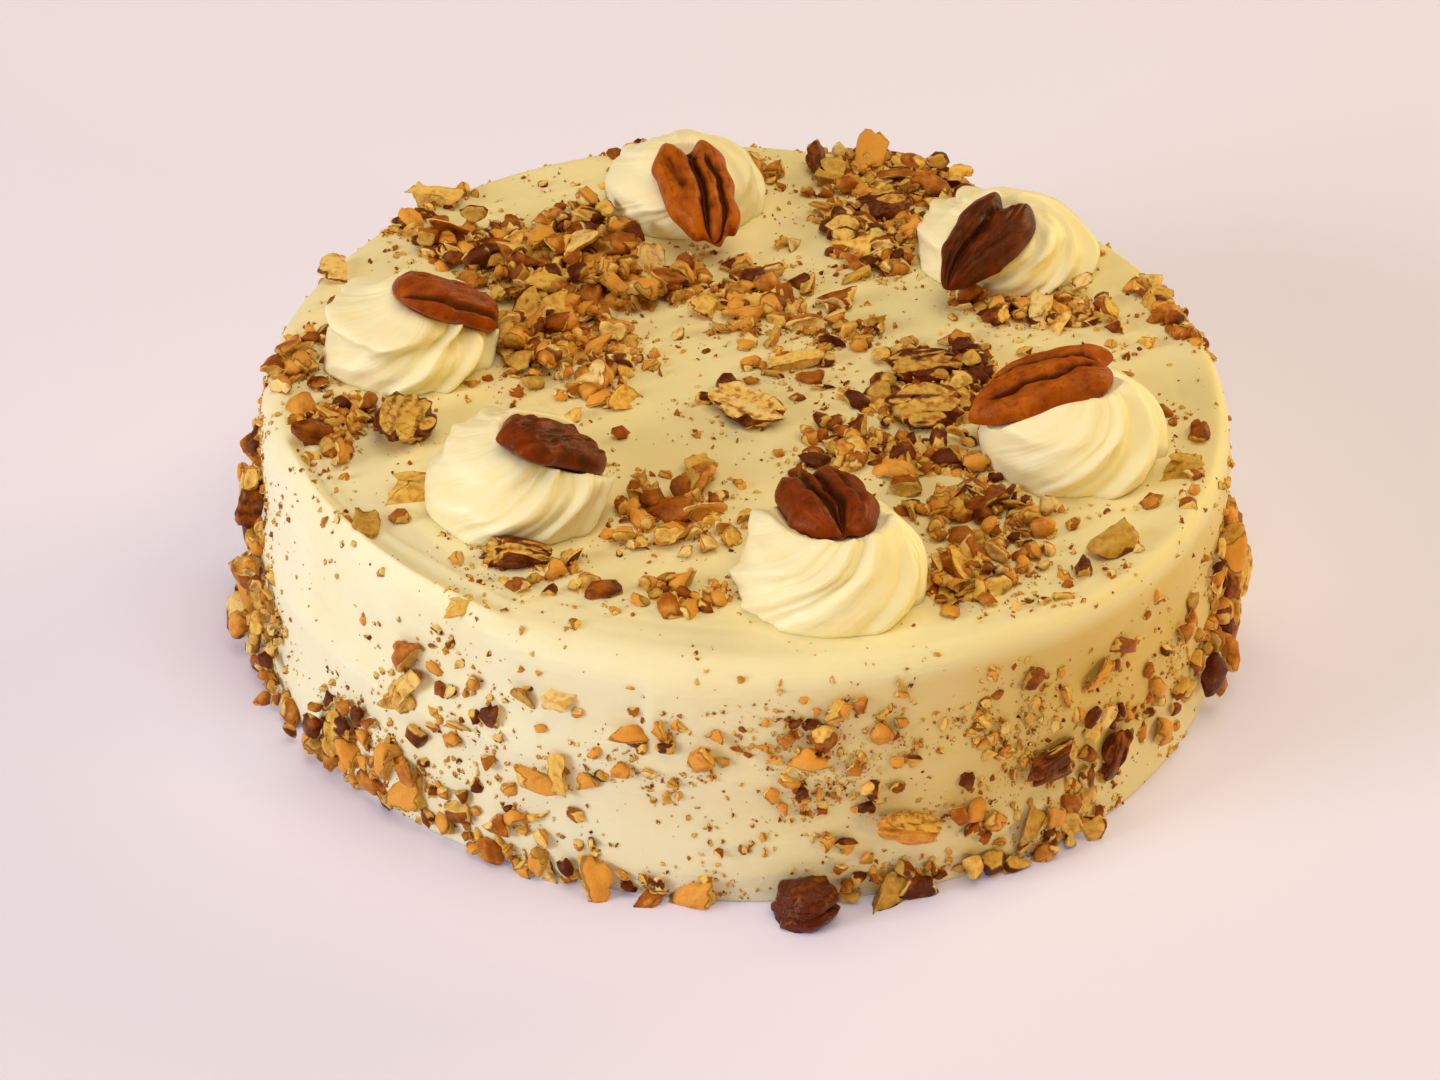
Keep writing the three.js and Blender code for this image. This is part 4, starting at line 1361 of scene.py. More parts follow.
def scattering_tree():
    tree, given = new_geometry_tree(
        "scattered_crumbs",
        ("Shapes", "Collection"),
        ("Density", "Float"),
        ("Smallest", "Float"),
        ("Largest", "Float"),
        ("Seed", "Int"),
        ("Finish", "Material"),
    )
    density = calc(tree, "MULTIPLY", read_mark(tree, "dusty"), given["Density"])
    values = {"Mesh": given["Geometry"], "Density": density, "Seed": given["Seed"]}
    kind = "GeometryNodeDistributePointsOnFaces"
    points = put(tree, kind, values, distribute_method="RANDOM")
    piled = calc(tree, "MULTIPLY", chance(tree, 6), PILE_SHARE)
    lift = calc(tree, "MULTIPLY", piled, read_mark(tree, "piled"))
    values = {0: points.outputs["Points"], "Offset": scaled(tree, points.outputs["Normal"], lift)}
    lifted = put(tree, "GeometryNodeSetPosition", values).outputs[0]
    rare = calc(tree, "POWER", chance(tree, given["Seed"]), MOSTLY_FINE)
    spread = calc(tree, "SUBTRACT", given["Largest"], given["Smallest"])
    size = calc(tree, "MULTIPLY_ADD", rare, spread, given["Smallest"])
    scale = scaled(tree, three_chances(tree, 3, *SQUAT), size)
    turn = three_chances(tree, 4, (0, 0, 0), (FULL_TURN,) * 3)
    marked = set_on_points(tree, lifted, given["Shapes"], turn, scale)
    for mark, lowest, seed in LOWEST_MARKS:
        marked = store_mark(tree, marked, mark, chance(tree, seed, lowest), "INSTANCE")
    real = put(tree, "GeometryNodeRealizeInstances", {0: marked}).outputs[0]
    return end_tree(tree, real, given["Finish"])


scattered_crumbs = scattering_tree()
print("scattered_crumbs:", len(scattered_crumbs.nodes), "nodes")

# %% Scatter bits and crumbs
BIT_SIZES = {"Density": 70e3, "Smallest": 1.3 * MM, "Largest": 4.2 * MM, "Seed": 8}
CRUMB_SIZES = {"Density": 280e3, "Smallest": 0.45 * MM, "Largest": 2.0 * MM, "Seed": 9}
SCATTERED = [("pecan_bits", small_lumps, BIT_SIZES), ("pecan_crumbs", crumbs, CRUMB_SIZES)]

dust_marks = {"dusty": dust_on(skin_points), "piled": piled_on(skin_points)}
for name, shelf, sizes in SCATTERED:
    scattered = mesh_piece(name, skin_points, skin_faces, dust_marks)
    run_tree(scattered, scattered_crumbs, {"Shapes": shelf, "Finish": nut_finish, **sizes})
    serve(scattered, "pecan_piece", "cake")

# %% [markdown]
# ## Finish of the frosting
#
# Cream-cheese frosting is pale yellow and lets light into its surface, so edges glow and
# shadows stay warm. Knife streaks too fine for the mesh are a bump that is stretched
# round the cake, and the finest dust is dark specks in the colour, as dense as the
# crumbs are.

# %% Frosting
FROSTING_SIDE = (0.865, 0.835, 0.590, 1)
# Painted warm light: the top is yellower than the side, as if lit warm from above.
FROSTING_TOP_PAINTED_WARM_LIGHT = (0.870, 0.778, 0.425, 1)
# Painted light: the lip is paler where the rim faces the key lamp on the left.
FROSTING_LIP_PAINTED_LIGHT = (0.905, 0.868, 0.600, 1)
FROSTING_DEEP = (0.835, 0.695, 0.345, 1)
# Painted warm shade: the right side, turned from the key lamp, is darker and yellower.
FROSTING_PAINTED_WARM_SHADE = (0.700, 0.505, 0.140, 1)
SPECK = (0.340, 0.170, 0.045, 1)
FROSTING_SURFACE = {
    "Roughness": 0.5,
    "Specular IOR Level": 0.35,
    "Subsurface Weight": 0.3,
    "Subsurface Radius": (1.0, 0.65, 0.3),
    "Subsurface Scale": 2.5 * MM,
}
DEEP_PATCHES = {"pitch": 26, "from": (0.40, 0.75), "share": 0.35}
SPECKS = {"pitch": 0.8, "dustiest": 1.5, "limit": (0.84, 0.66), "share": 0.6}
STREAK_STRETCH = (0.03, 0.03, 1)


def frosting_finish():
    finish, tree, shader, place = new_finish("cream_cheese_frosting")
    # This mark paints warm light on the top.
    colour = blend_colour(tree, mark_of(tree, "top"), FROSTING_SIDE, FROSTING_TOP_PAINTED_WARM_LIGHT)
    # This mark paints light on the front-left rim.
    colour = blend_colour(tree, mark_of(tree, "lip"), colour, FROSTING_LIP_PAINTED_LIGHT)
    # This mark paints warm shade on the right side.
    colour = blend_colour(tree, mark_of(tree, "thin"), colour, FROSTING_PAINTED_WARM_SHADE)
    cloudy = patches(tree, place, DEEP_PATCHES["pitch"])
    deep = between(tree, cloudy, *DEEP_PATCHES["from"], 0.0, DEEP_PATCHES["share"])
    colour = blend_colour(tree, deep, colour, FROSTING_DEEP)
    dusty = mark_of(tree, "dusty")
    limit = between(tree, dusty, 0.0, SPECKS["dustiest"], *SPECKS["limit"])
    specks = patches(tree, place, SPECKS["pitch"], 1.0, 0.2)
    speckled = calc(tree, "MULTIPLY", calc(tree, "GREATER_THAN", specks, limit), SPECKS["share"])
    colour = blend_colour(tree, speckled, colour, SPECK)
    stretched = put(tree, "ShaderNodeMapping", {"Vector": place, "Scale": STREAK_STRETCH})
    streaks = patches(tree, stretched.outputs[0], 1.6)
    height = calc(tree, "MULTIPLY_ADD", streaks, 0.6, patches(tree, place, 5.0))
    coat(tree, shader, colour, height, FROSTING_SURFACE, strength=0.5, depth=0.5)
    return finish


# %% Where its colour changes, with painted light and painted shade
# Painted light along the lip, with its angle, reach and depth inward.
PAINTED_LIP_LIGHT = {"at": 222, "reach": 62, "deep": 34}
# Painted warm shade on the right side, and how much of it is left near the foot.
PAINTED_WARM_SHADE_SIDE = {"at": 318, "reach": 42, "to": 56, "fade": 5}
PAINTED_WARM_SHADE_FOOT = {"below": 22, "over": 10, "left": 0.45}
# Where the top's painted warm light begins below the rim, and how fast it comes in.
TOP_PAINTED_WARM_LIGHT = {"below": 6, "over": 5}


def painted_lip_light(points):
    """Painted light: 1 along the front-left lip, where the rim faces the key lamp, and less farther
    in.
    """
    x, y, z = points.T
    inward = ease(1 - (TOP_RADIUS - np.hypot(x, y)) / PAINTED_LIP_LIGHT["deep"])
    off = turned_off(np.arctan2(y, x), PAINTED_LIP_LIGHT["at"])
    return inward * bell(off, PAINTED_LIP_LIGHT["reach"]) * (z > CAKE_HEIGHT / 2)


def painted_warm_shade(points):
    """Painted warm shade: 1 on the right side, which is turned from the key lamp, and less towards
    the foot.
    """
    x, y, z = points.T
    lower = ease((PAINTED_WARM_SHADE_FOOT["below"] - z) / PAINTED_WARM_SHADE_FOOT["over"])
    level = ease((PAINTED_WARM_SHADE_SIDE["to"] - z) / PAINTED_WARM_SHADE_SIDE["fade"]) * mix(1, PAINTED_WARM_SHADE_FOOT["left"], lower)
    return level * bell(turned_off(np.arctan2(y, x), PAINTED_WARM_SHADE_SIDE["at"]), PAINTED_WARM_SHADE_SIDE["reach"])


over_rim = skin_points[:, 2] - CAKE_HEIGHT + TOP_PAINTED_WARM_LIGHT["below"]
frosting_marks = {
    **dust_marks,
    "top": ease(over_rim / TOP_PAINTED_WARM_LIGHT["over"]),
    "lip": painted_lip_light(skin_points),
    "thin": painted_warm_shade(skin_points),
}
frosting = mesh_piece("frosting", skin_points, skin_faces, frosting_marks)
frosting.data.materials.append(frosting_finish())
serve(frosting, "frosting", "cake")

# %% [markdown]
# ## Piped swirls
#
# A star nozzle squeezes the cream out in one push while the hand turns, so that its
# ridges run from the peak down and round to points at the foot. The shape follows a
# rule, so one tree makes all six: a flat grid is wrapped round a half outline, its
# radius drops between the ridges, and the whole is twisted more the higher it is. The
# ridges differ a little in depth and reach, as real ones do. They are fainter on one
# side, and the nozzle's last turn leaves a winding round the upper half.

# %% Half outline of a swirl
OUTLINE = [  # how far along it, out and up, as shares, from the foot's middle to the peak
    (0, 0, 0),
    (0.03, 0.93, 0.0),
    (0.09, 1.0, 0.08),
    (0.25, 1.0, 0.25),
    (0.45, 0.91, 0.50),
    (0.64, 0.68, 0.70),
    (0.82, 0.38, 0.87),
    (1, 0, 1),
]
RIDGES = 8
SWIRL_SIZES = {
    "Ridges": RIDGES,
    "Leaning": 1.5,
    "Sharpness": 1.15,
    "Split": 0.38,
    "Twist": math.radians(105),
    "Smooth Towards": math.radians(212),
    "Unevenness": 1.0 * MM,
}
SWIRL_AROUND = RIDGES * 20
SWIRL_RISE = 64


def curve_of(tree, share, corners):
    """The value of a smooth curve through these corners."""
    made = put(tree, "ShaderNodeFloatCurve", {"Value": share})
    curve = made.mapping.curves[0]
    for corner in corners[1:-1]:
        curve.points.new(*corner)
    curve.points[0].location = corners[0]
    curve.points[len(curve.points) - 1].location = corners[-1]
    made.mapping.update()
    return made.outputs[0]


# %% Ridges of the nozzle
SPACING = [(2, 0.024, 1.3), (3, 0.014, 2.1)]  # waves round the swirl, their sway, lag by seed
SMOOTHED_EDGE = 1.5  # a power that narrows the smoothed side
VALLEY_DEPTHS = (0.35, 1.25)
CREST_REACHES = (-0.06, 0.09)
CREST_LEFT = 0.4  # of a crest's reach, where the cream is smooth


def unevenly_spaced(tree, given, share):
    """The share of the way round, pushed to and fro so that some ridges stand wide apart."""
    moved = share
    for waves, sway, lag in SPACING:
        phase = calc(tree, "MULTIPLY", given["Seed"], lag)
        turn = calc(tree, "MULTIPLY_ADD", share, waves * 2 * math.pi, phase)
        moved = calc(tree, "MULTIPLY_ADD", calc(tree, "SINE", turn), sway, moved)
    return moved


def smoothed_side(tree, given, turn):
    """How much of the ridges' depth is left, less on the side where the cream was dabbed."""
    off = calc(tree, "COSINE", calc(tree, "SUBTRACT", turn, given["Smooth Towards"]))
    side = calc(tree, "POWER", calc(tree, "MULTIPLY_ADD", off, 0.5, 0.5), SMOOTHED_EDGE)
    return calc(tree, "SUBTRACT", 1.0, calc(tree, "MULTIPLY", side, given["Smoothed"]))


def ridge_profile(tree, given, leaning):
    """From 1 on a ridge down to the valley, which carries a fainter ridge of its own."""
    sharp = calc(tree, "ABSOLUTE", calc(tree, "MULTIPLY_ADD", leaning, 2.0, -1.0))
    ridge = calc(tree, "POWER", sharp, given["Sharpness"])
    fainter = calc(tree, "ABSOLUTE", calc(tree, "MULTIPLY_ADD", sharp, 2.0, -1.0))
    return put(tree, "ShaderNodeMix", {0: given["Split"], 2: ridge, 3: fainter}).outputs[0]


def ridge_reach(tree, given, share, rise, left):
    """How far out the surface is, as a share, and how close to a ridge. The cream falls off
    gently from one ridge and rises steeply to the next. No two valleys are as deep."""
    count = calc(tree, "MULTIPLY", unevenly_spaced(tree, given, share), given["Ridges"])
    number = calc(tree, "FLOOR", count)
    leaning = calc(tree, "POWER", calc(tree, "FRACT", count), given["Leaning"])
    ridge = ridge_profile(tree, given, leaning)
    this_valley = calc(tree, "FLOORED_MODULO", number, given["Ridges"])
    nearest = calc(tree, "ADD", number, calc(tree, "ROUND", leaning))
    this_ridge = calc(tree, "FLOORED_MODULO", nearest, given["Ridges"])
    values = {0: rise, 1: 0.0, 2: 1.0, 3: given["Depth At Foot"], 4: given["Depth At Peak"]}
    depth = calc(tree, "MULTIPLY", put(tree, "ShaderNodeMapRange", values).outputs[0], left)
    valley = chance(tree, given["Seed"], *VALLEY_DEPTHS, ID=this_valley)
    crest = chance(tree, given["Seed"], *CREST_REACHES, ID=this_ridge)
    crest_left = calc(tree, "MULTIPLY_ADD", left, 1 - CREST_LEFT, CREST_LEFT)
    crest = calc(tree, "MULTIPLY", crest, crest_left)
    off_ridge = calc(tree, "SUBTRACT", 1.0, ridge)
    dip = calc(tree, "MULTIPLY", calc(tree, "MULTIPLY", depth, valley), off_ridge)
    return calc(tree, "SUBTRACT", calc(tree, "MULTIPLY_ADD", crest, ridge, 1.0), dip), ridge


# %% The winding of the last turn
COIL_TURNS = 1.6
COIL_AT = {"middle": 0.62, "reach": 0.26}


def coil_of(tree, share, rise):
    """The winding that the nozzle's last turn leaves round the upper half, from -1 to 1."""
    turns = calc(tree, "SUBTRACT", calc(tree, "MULTIPLY", rise, COIL_TURNS), share)
    wave = calc(tree, "SINE", calc(tree, "MULTIPLY", turns, 2 * math.pi))
    off = calc(tree, "DIVIDE", calc(tree, "SUBTRACT", rise, COIL_AT["middle"]), COIL_AT["reach"])
    fading = calc(tree, "EXPONENT", calc(tree, "MULTIPLY", calc(tree, "MULTIPLY", off, off), -1.0))
    return calc(tree, "MULTIPLY", wave, fading)


# %% Tree of a swirl
OWN_NUMBERS = ["Radius", "Height", "Depth At Foot", "Depth At Peak", "Smoothed", "Coil"]
TWIST_POWER = 1.3  # twists the peak more than the foot
UNEVEN_PITCH = 7.0
MERGED_WITHIN = 0.00001


def place_on_swirl(tree, given, share, rise):
    """Where a place of the grid goes, and how close it is to a ridge."""
    out_share = curve_of(tree, rise, [(at, out) for at, out, _ in OUTLINE])
    up_share = curve_of(tree, rise, [(at, up) for at, _, up in OUTLINE])
    twisted = calc(tree, "MULTIPLY", calc(tree, "POWER", up_share, TWIST_POWER), given["Twist"])
    turned = calc(tree, "ADD", twisted, given["Turned By"])
    turn = calc(tree, "MULTIPLY_ADD", share, 2 * math.pi, turned)
    left = smoothed_side(tree, given, turn)
    ridged, ridge = ridge_reach(tree, given, share, up_share, left)
    coiled = calc(tree, "MULTIPLY_ADD", coil_of(tree, share, up_share), given["Coil"], ridged)
    out = calc(tree, "MULTIPLY", calc(tree, "MULTIPLY", out_share, given["Radius"]), coiled)
    values = {
        0: calc(tree, "MULTIPLY", out, calc(tree, "COSINE", turn)),
        1: calc(tree, "MULTIPLY", out, calc(tree, "SINE", turn)),
        2: calc(tree, "MULTIPLY", up_share, given["Height"]),
    }
    upright = put(tree, "ShaderNodeCombineXYZ", values).outputs[0]
    leaning_by = calc(tree, "MULTIPLY", up_share, up_share)
    values = {0: upright, 1: scaled(tree, given["Lean"], leaning_by)}
    return put(tree, "ShaderNodeVectorMath", values, operation="ADD").outputs[0], ridge


def swirl_tree():
    numbers = [(name, "Float") for name in (*SWIRL_SIZES, *OWN_NUMBERS, "Turned By")]
    others = [("Lean", "Vector"), ("Seed", "Int"), ("Finish", "Material")]
    tree, given = new_geometry_tree("piped_swirl", *numbers, *others)
    sizes = {"Size X": 1.0, "Size Y": 1.0}
    counts = {"Vertices X": SWIRL_AROUND + 1, "Vertices Y": SWIRL_RISE + 1}
    marked = put(tree, "GeometryNodeMeshGrid", {**sizes, **counts}).outputs["Mesh"]
    on_grid = put(tree, "GeometryNodeInputPosition").outputs[0]
    flat = put(tree, "ShaderNodeSeparateXYZ", {0: on_grid}).outputs
    share, rise = calc(tree, "ADD", flat[0], 0.5), calc(tree, "ADD", flat[1], 0.5)
    place, ridge = place_on_swirl(tree, given, share, rise)
    for mark, value in (("crest", ridge), ("along", rise), ("round", share)):
        marked = store_mark(tree, marked, mark, value)
    wrapped = put(tree, "GeometryNodeSetPosition", {0: marked, "Position": place}).outputs[0]
    values = {0: wrapped, "Distance": MERGED_WITHIN}
    closed = put(tree, "GeometryNodeMergeByDistance", values).outputs[0]
    uneven = bumped(tree, closed, UNEVEN_PITCH * MM, given["Unevenness"])
    smooth = put(tree, "GeometryNodeSetShadeSmooth", {0: uneven}).outputs[0]
    return end_tree(tree, smooth, given["Finish"])


piped_swirl = swirl_tree()
print("piped_swirl:", len(piped_swirl.nodes), "nodes")

# %% Finish of the piped cream, with painted shade in its valleys
CREAM = (0.955, 0.875, 0.560, 1)
# Painted shade: the cream's valleys between ridges are darker and yellower.
CREAM_VALLEY_SHADE = (0.905, 0.710, 0.265, 1)
CREAM_SURFACE = {
    "Roughness": 0.42,
    "Specular IOR Level": 0.4,
    "Subsurface Weight": 0.3,
    "Subsurface Radius": (1.0, 0.75, 0.35),
    "Subsurface Scale": 2.0 * MM,
}
VALLEY_SHADE_TO_CREST = (0.1, 0.7)
DRAG_LINES = 60.0


def cream_finish():
    finish, tree, shader, place = new_finish("piped_cream")
    cloudy = calc(tree, "MULTIPLY", patches(tree, place, 9), 0.5)
    height = calc(tree, "ADD", mark_of(tree, "crest"), cloudy)
    # Valleys get painted shade, and crests the plain cream colour.
    colour = blend_colour(tree, between(tree, height, *VALLEY_SHADE_TO_CREST), CREAM_VALLEY_SHADE, CREAM)
    round_it = calc(tree, "MULTIPLY", mark_of(tree, "round"), DRAG_LINES)
    drag = put(tree, "ShaderNodeCombineXYZ", {0: round_it, 1: mark_of(tree, "along")}).outputs[0]
    values = {"Vector": drag, "Scale": 1.6, "Detail": 2.0}
    lines = put(tree, "ShaderNodeTexNoise", values).outputs[0]
    coat(tree, shader, colour, lines, CREAM_SURFACE, strength=0.35, depth=0.4)
    return finish


# %% [markdown]
# ## Pecan halves
#
# A pecan half has a flat face and a rounded back. Two deep grooves run along the back
# beside a narrow ridge, each lobe has a fainter furrow of its own, and the skin is
# finely wrinkled along its length. At the outer end the lobes part in a notch. The half
# is a stack of rings along its length, with most points on the back, where the grooves
# need them.

# %% Sizes of the halves
HALVES = [  # x, y, rise, heading, dip, length, width
    (16.1, -62.5, 12.4, 104, 11, 32, 20),
    (-40.0, -47.6, 13.0, 40, 32, 30, 17),
    (-65.6, 6.6, 12.8, 38, 31, 29, 17),
    (-13.0, 60.2, 11.4, -73, 17, 32, 19),
    (50.7, 44.0, 11.0, -119, 11, 33, 19),
    (62.1, -17.5, 12.8, -167, 15, 35, 18),
]
HALF_THICKNESS = 8.5
HALF_SHAPE = {"fullness": 2.6, "back_fullness": 0.8, "back": 0.62, "face": 0.28}
HALF_SHAPE |= {"droop": 0.1, "taper": 0.1}
HALF_STATIONS = 110
BACK_POINTS = 120
FACE_POINTS = 30
END_GAP = 0.04
WRINKLE_DEPTH = 0.26
WRINKLES = [  # weight, pitch, number added to the seed
    (1, (6.0, 0.75, 1), 2),
    (0.7, (2.0, 1.6, 1), 3),
    (1.1, (3.4, 2.2, 1), 5),
]
COURSE_WANDER = [(0.055, (6, 60, 1), 0), (0.02, (2, 30, 1), 4)]  # the same, for the grooves
OUTLINE_WANDER = {"share": 0.07, "pitch": 4.5, "seed": 7, "sides_apart": 9}

# %% Grooves of each half
GROOVES = [  # depth, width, and the groove's course: share of the half length, of the half width
    [
        (0.52, 0.085, [(-1, 0.06), (-0.4, 0.12), (0.2, 0.28), (1, 0.48)]),
        (0.50, 0.080, [(-1, -0.14), (-0.4, -0.14), (0.2, -0.08), (1, -0.02)]),
        (0.14, 0.060, [(-0.6, -0.55), (0.7, -0.45)]),
    ],
    [
        (0.30, 0.080, [(-0.9, 0.10), (-0.2, -0.10), (0.7, 0.02)]),
        (0.28, 0.070, [(-0.8, -0.55), (0.0, -0.42), (0.8, -0.62)]),
        (0.16, 0.060, [(-0.3, 0.50), (0.6, 0.56)]),
    ],
    [
        (0.62, 0.065, [(-1, -0.66), (-0.3, -0.76), (0.3, -0.80), (1, -0.86)]),
        (0.30, 0.080, [(-0.7, 0.40), (0, 0.34), (1, 0.25)]),
        (0.14, 0.060, [(-0.7, -0.30), (0.8, -0.38)]),
    ],
    [
        (0.60, 0.090, [(-1, 0.08), (0, 0.03), (1, -0.20)]),
        (0.46, 0.075, [(-0.6, 0.46), (0, 0.50), (1, 0.46)]),
        (0.20, 0.110, [(-0.75, -0.62), (0.25, -0.56)]),
    ],
    [
        (0.52, 0.095, [(-1, -0.06), (0, -0.15), (1, -0.10)]),
        (0.20, 0.065, [(-0.2, -0.50), (1, -0.42)]),
        (0.17, 0.090, [(-0.3, 0.50), (0.7, 0.36)]),
    ],
    [
        (
            0.62,
            0.060,
            [(-1, -0.24), (-0.6, -0.40), (-0.2, -0.38), (0.2, -0.52), (0.6, -0.50), (1, -0.62)],
        ),
        (
            0.56,
            0.060,
            [(-0.9, 0.00), (-0.5, 0.12), (-0.15, 0.34), (0.15, 0.28), (0.45, 0.38), (0.8, 0.28)],
        ),
        (0.10, 0.050, [(-0.7, -0.72), (0.3, -0.80)]),
    ],
]

# %% Ends and look of each half
ENDS = [  # how far each end is drawn back in mm, by the share of the half width: first and last end
    (
        [(-1, 1), (-0.5, 0), (-0.14, 2.6), (0, 1.4), (0.12, 2.4), (0.5, 1.6), (1, 2)],
        [(-1, 4), (-0.45, 0.4), (-0.02, 2.0), (0.22, 0), (0.46, 2.6), (0.75, 1.4), (1, 4)],
    ),
    (
        [(-1, 3), (-0.6, 0), (-0.2, 1.8), (0.2, 0.4), (0.6, 2.5), (1, 3)],
        [(-1, 2), (-0.4, 0), (0.2, 1), (0.6, 0), (1, 3)],
    ),
    (
        [(-1, 4), (-0.4, 2.6), (0.1, 1.4), (0.7, 1.6), (1, 3)],
        [(-1, 2), (-0.6, 1.4), (-0.2, 0), (0.5, 0.4), (1, 1)],
    ),
    (
        [(-1, 3), (-0.5, 0), (0.08, 4.4), (0.5, 0.2), (1, 2)],
        [(-1, 4), (-0.5, 1.5), (-0.2, 2.4), (0.2, 0), (0.48, 1.8), (0.75, 0), (1, 0.5)],
    ),
    (
        [(-1, 2), (-0.5, 0), (-0.05, 4.8), (0.45, 0.6), (1, 2)],
        [(-1, 5), (-0.1, 0), (0.3, 1), (1, 6)],
    ),
    (
        [(-1, 0.5), (-0.5, 0), (-0.22, 3.6), (0.1, 2.8), (0.6, 3.4), (1, 5)],
        [(-1, 5), (-0.3, 1.5), (0.2, 0), (0.6, 1.2), (1, 3)],
    ),
]
BLUNTNESS = [(3.0, 3.4), (3.4, 3.2), (3.2, 6.0), (4.2, 4.0), (4.2, 2.8), (4.0, 3.0)]  # of both ends
SLIMNESS = [0.95, 0.98, 1.0, 0.86, 0.86, 0.98]  # share of the full width
BOWS = [0.0, 0.6, 0.3, 0.0, 0.4, -1.3]  # how far the middle is bent to the side, in mm
TONES = [0.32, 0.20, 0.50, 0.68, 0.10, 0.64]  # from dark red brown to golden
RUGGED = [1.0, 1.9, 1.1, 1.0, 1.0, 1.2]  # how wrinkled the skin is

# %% Placing a half, and its face
LEAST_END = 0.05  # keeps the division sound at the tips


def half_placing(half):
    x, y, rise, heading, dip, *_ = half
    turned = turned_and_tilted(math.radians(heading), math.radians(dip))
    return Matrix.Translation((x, y, CAKE_HEIGHT + rise)) @ turned


def moved_by(points, placing):
    """Points after a placing has turned and moved them."""
    turn = np.array(placing)
    return points @ turn[:3, :3].T + turn[:3, 3]


def face_height(along, side):
    """Height of the flat face under a half, in millimetres, from places as shares."""
    end = np.sqrt(np.clip(1 - np.abs(along) ** HALF_SHAPE["fullness"], 0, 1))
    across = np.sqrt(np.clip(1 - (side / np.maximum(end, LEAST_END)) ** 2, 0, 1))
    return -HALF_THICKNESS * (HALF_SHAPE["face"] * across * end + HALF_SHAPE["droop"] * along**2)


# %% A soft curve through corners
def through(at, corners):
    """The value at a place of a soft curve through corners, each a place and a value."""
    places, values = (np.array(c, float) for c in zip(*corners))
    step = np.clip(np.searchsorted(places, at, side="right") - 1, 0, len(places) - 2)
    share = ease((at - places[step]) / (places[step + 1] - places[step]))
    return mix(values[step], values[step + 1], share)

# %% Depth of the grooves
GROOVE_FADE = 0.25
TROUGH = {"share": 0.5, "wider": 2.6}
LINE = {"wider": 1.7, "full_at": 0.4}


def groove_marks(along, side, wander, grooves):
    """How deep each groove cuts at each point: a broad trough with a narrow line in it."""
    cut, line = 0 * along, 0 * along
    for depth, width, course in grooves:
        start, stop = course[0][0], course[-1][0]
        fading = np.where(start <= -1, 1, ease((along - start) / GROOVE_FADE))
        fading = fading * np.where(stop >= 1, 1, ease((stop - along) / GROOVE_FADE))
        off = side + wander - through(along, course)
        trough = TROUGH["share"] * bell(off, TROUGH["wider"] * width)
        cut += depth * fading * (TROUGH["share"] * bell(off, width) + trough)
        shown = min(1, depth / LINE["full_at"])
        line = np.maximum(line, fading * bell(off, LINE["wider"] * width) * shown)
    return cut, line


# %% Rings of a half
HALF_SEED = 30
ENDS_DRAWN = {"from": 0.3, "over": 0.6}
DEEPEST_GROOVE = 0.8
# How much painted shade the grooves' troughs and the wrinkles' valleys get.
PAINTED_GROOVE_AND_WRINKLE_SHADE = {"by_groove": 0.35, "by_wrinkle": 0.38}


def half_grid():
    """Places round a half as shares of the way along, to the side and up."""
    along = -np.cos(np.linspace(END_GAP, math.pi - END_GAP, HALF_STATIONS))[:, None]
    back = np.linspace(math.pi / 2, -math.pi / 2, BACK_POINTS, endpoint=False)
    face = np.linspace(-math.pi / 2, -3 * math.pi / 2, FACE_POINTS, endpoint=False)
    turn = np.concatenate([back, face])[None, :]
    return along + 0 * turn, np.sin(turn) + 0 * along, np.cos(turn) + 0 * along


def noise_of_layers(points, layers, seed):
    return sum(weight * noise(points, pitch, seed + added) for weight, pitch, added in layers)


def half_outline(number, along, side, end, seed):
    """Where a half's points lie along and across it, with notched ends and an uneven edge."""
    length, width = HALVES[number][5:7]
    first, last = ENDS[number]
    out = side * end
    drawn_back = ease((-along - ENDS_DRAWN["from"]) / ENDS_DRAWN["over"]) * through(out, first)
    drawn_back -= ease((along - ENDS_DRAWN["from"]) / ENDS_DRAWN["over"]) * through(out, last)
    x = along * length / 2 + drawn_back
    places = np.stack([x, np.sign(side) * OUTLINE_WANDER["sides_apart"], 0 * x], -1).reshape(-1, 3)
    edge = noise(places, OUTLINE_WANDER["pitch"], seed + OUTLINE_WANDER["seed"])
    edge = OUTLINE_WANDER["share"] * RUGGED[number] * edge.reshape(along.shape) * np.abs(side)
    y = out * (1 + edge) * SLIMNESS[number] * width / 2 * (1 - HALF_SHAPE["taper"] * along)
    return x, y + BOWS[number] * (1 - along**2)


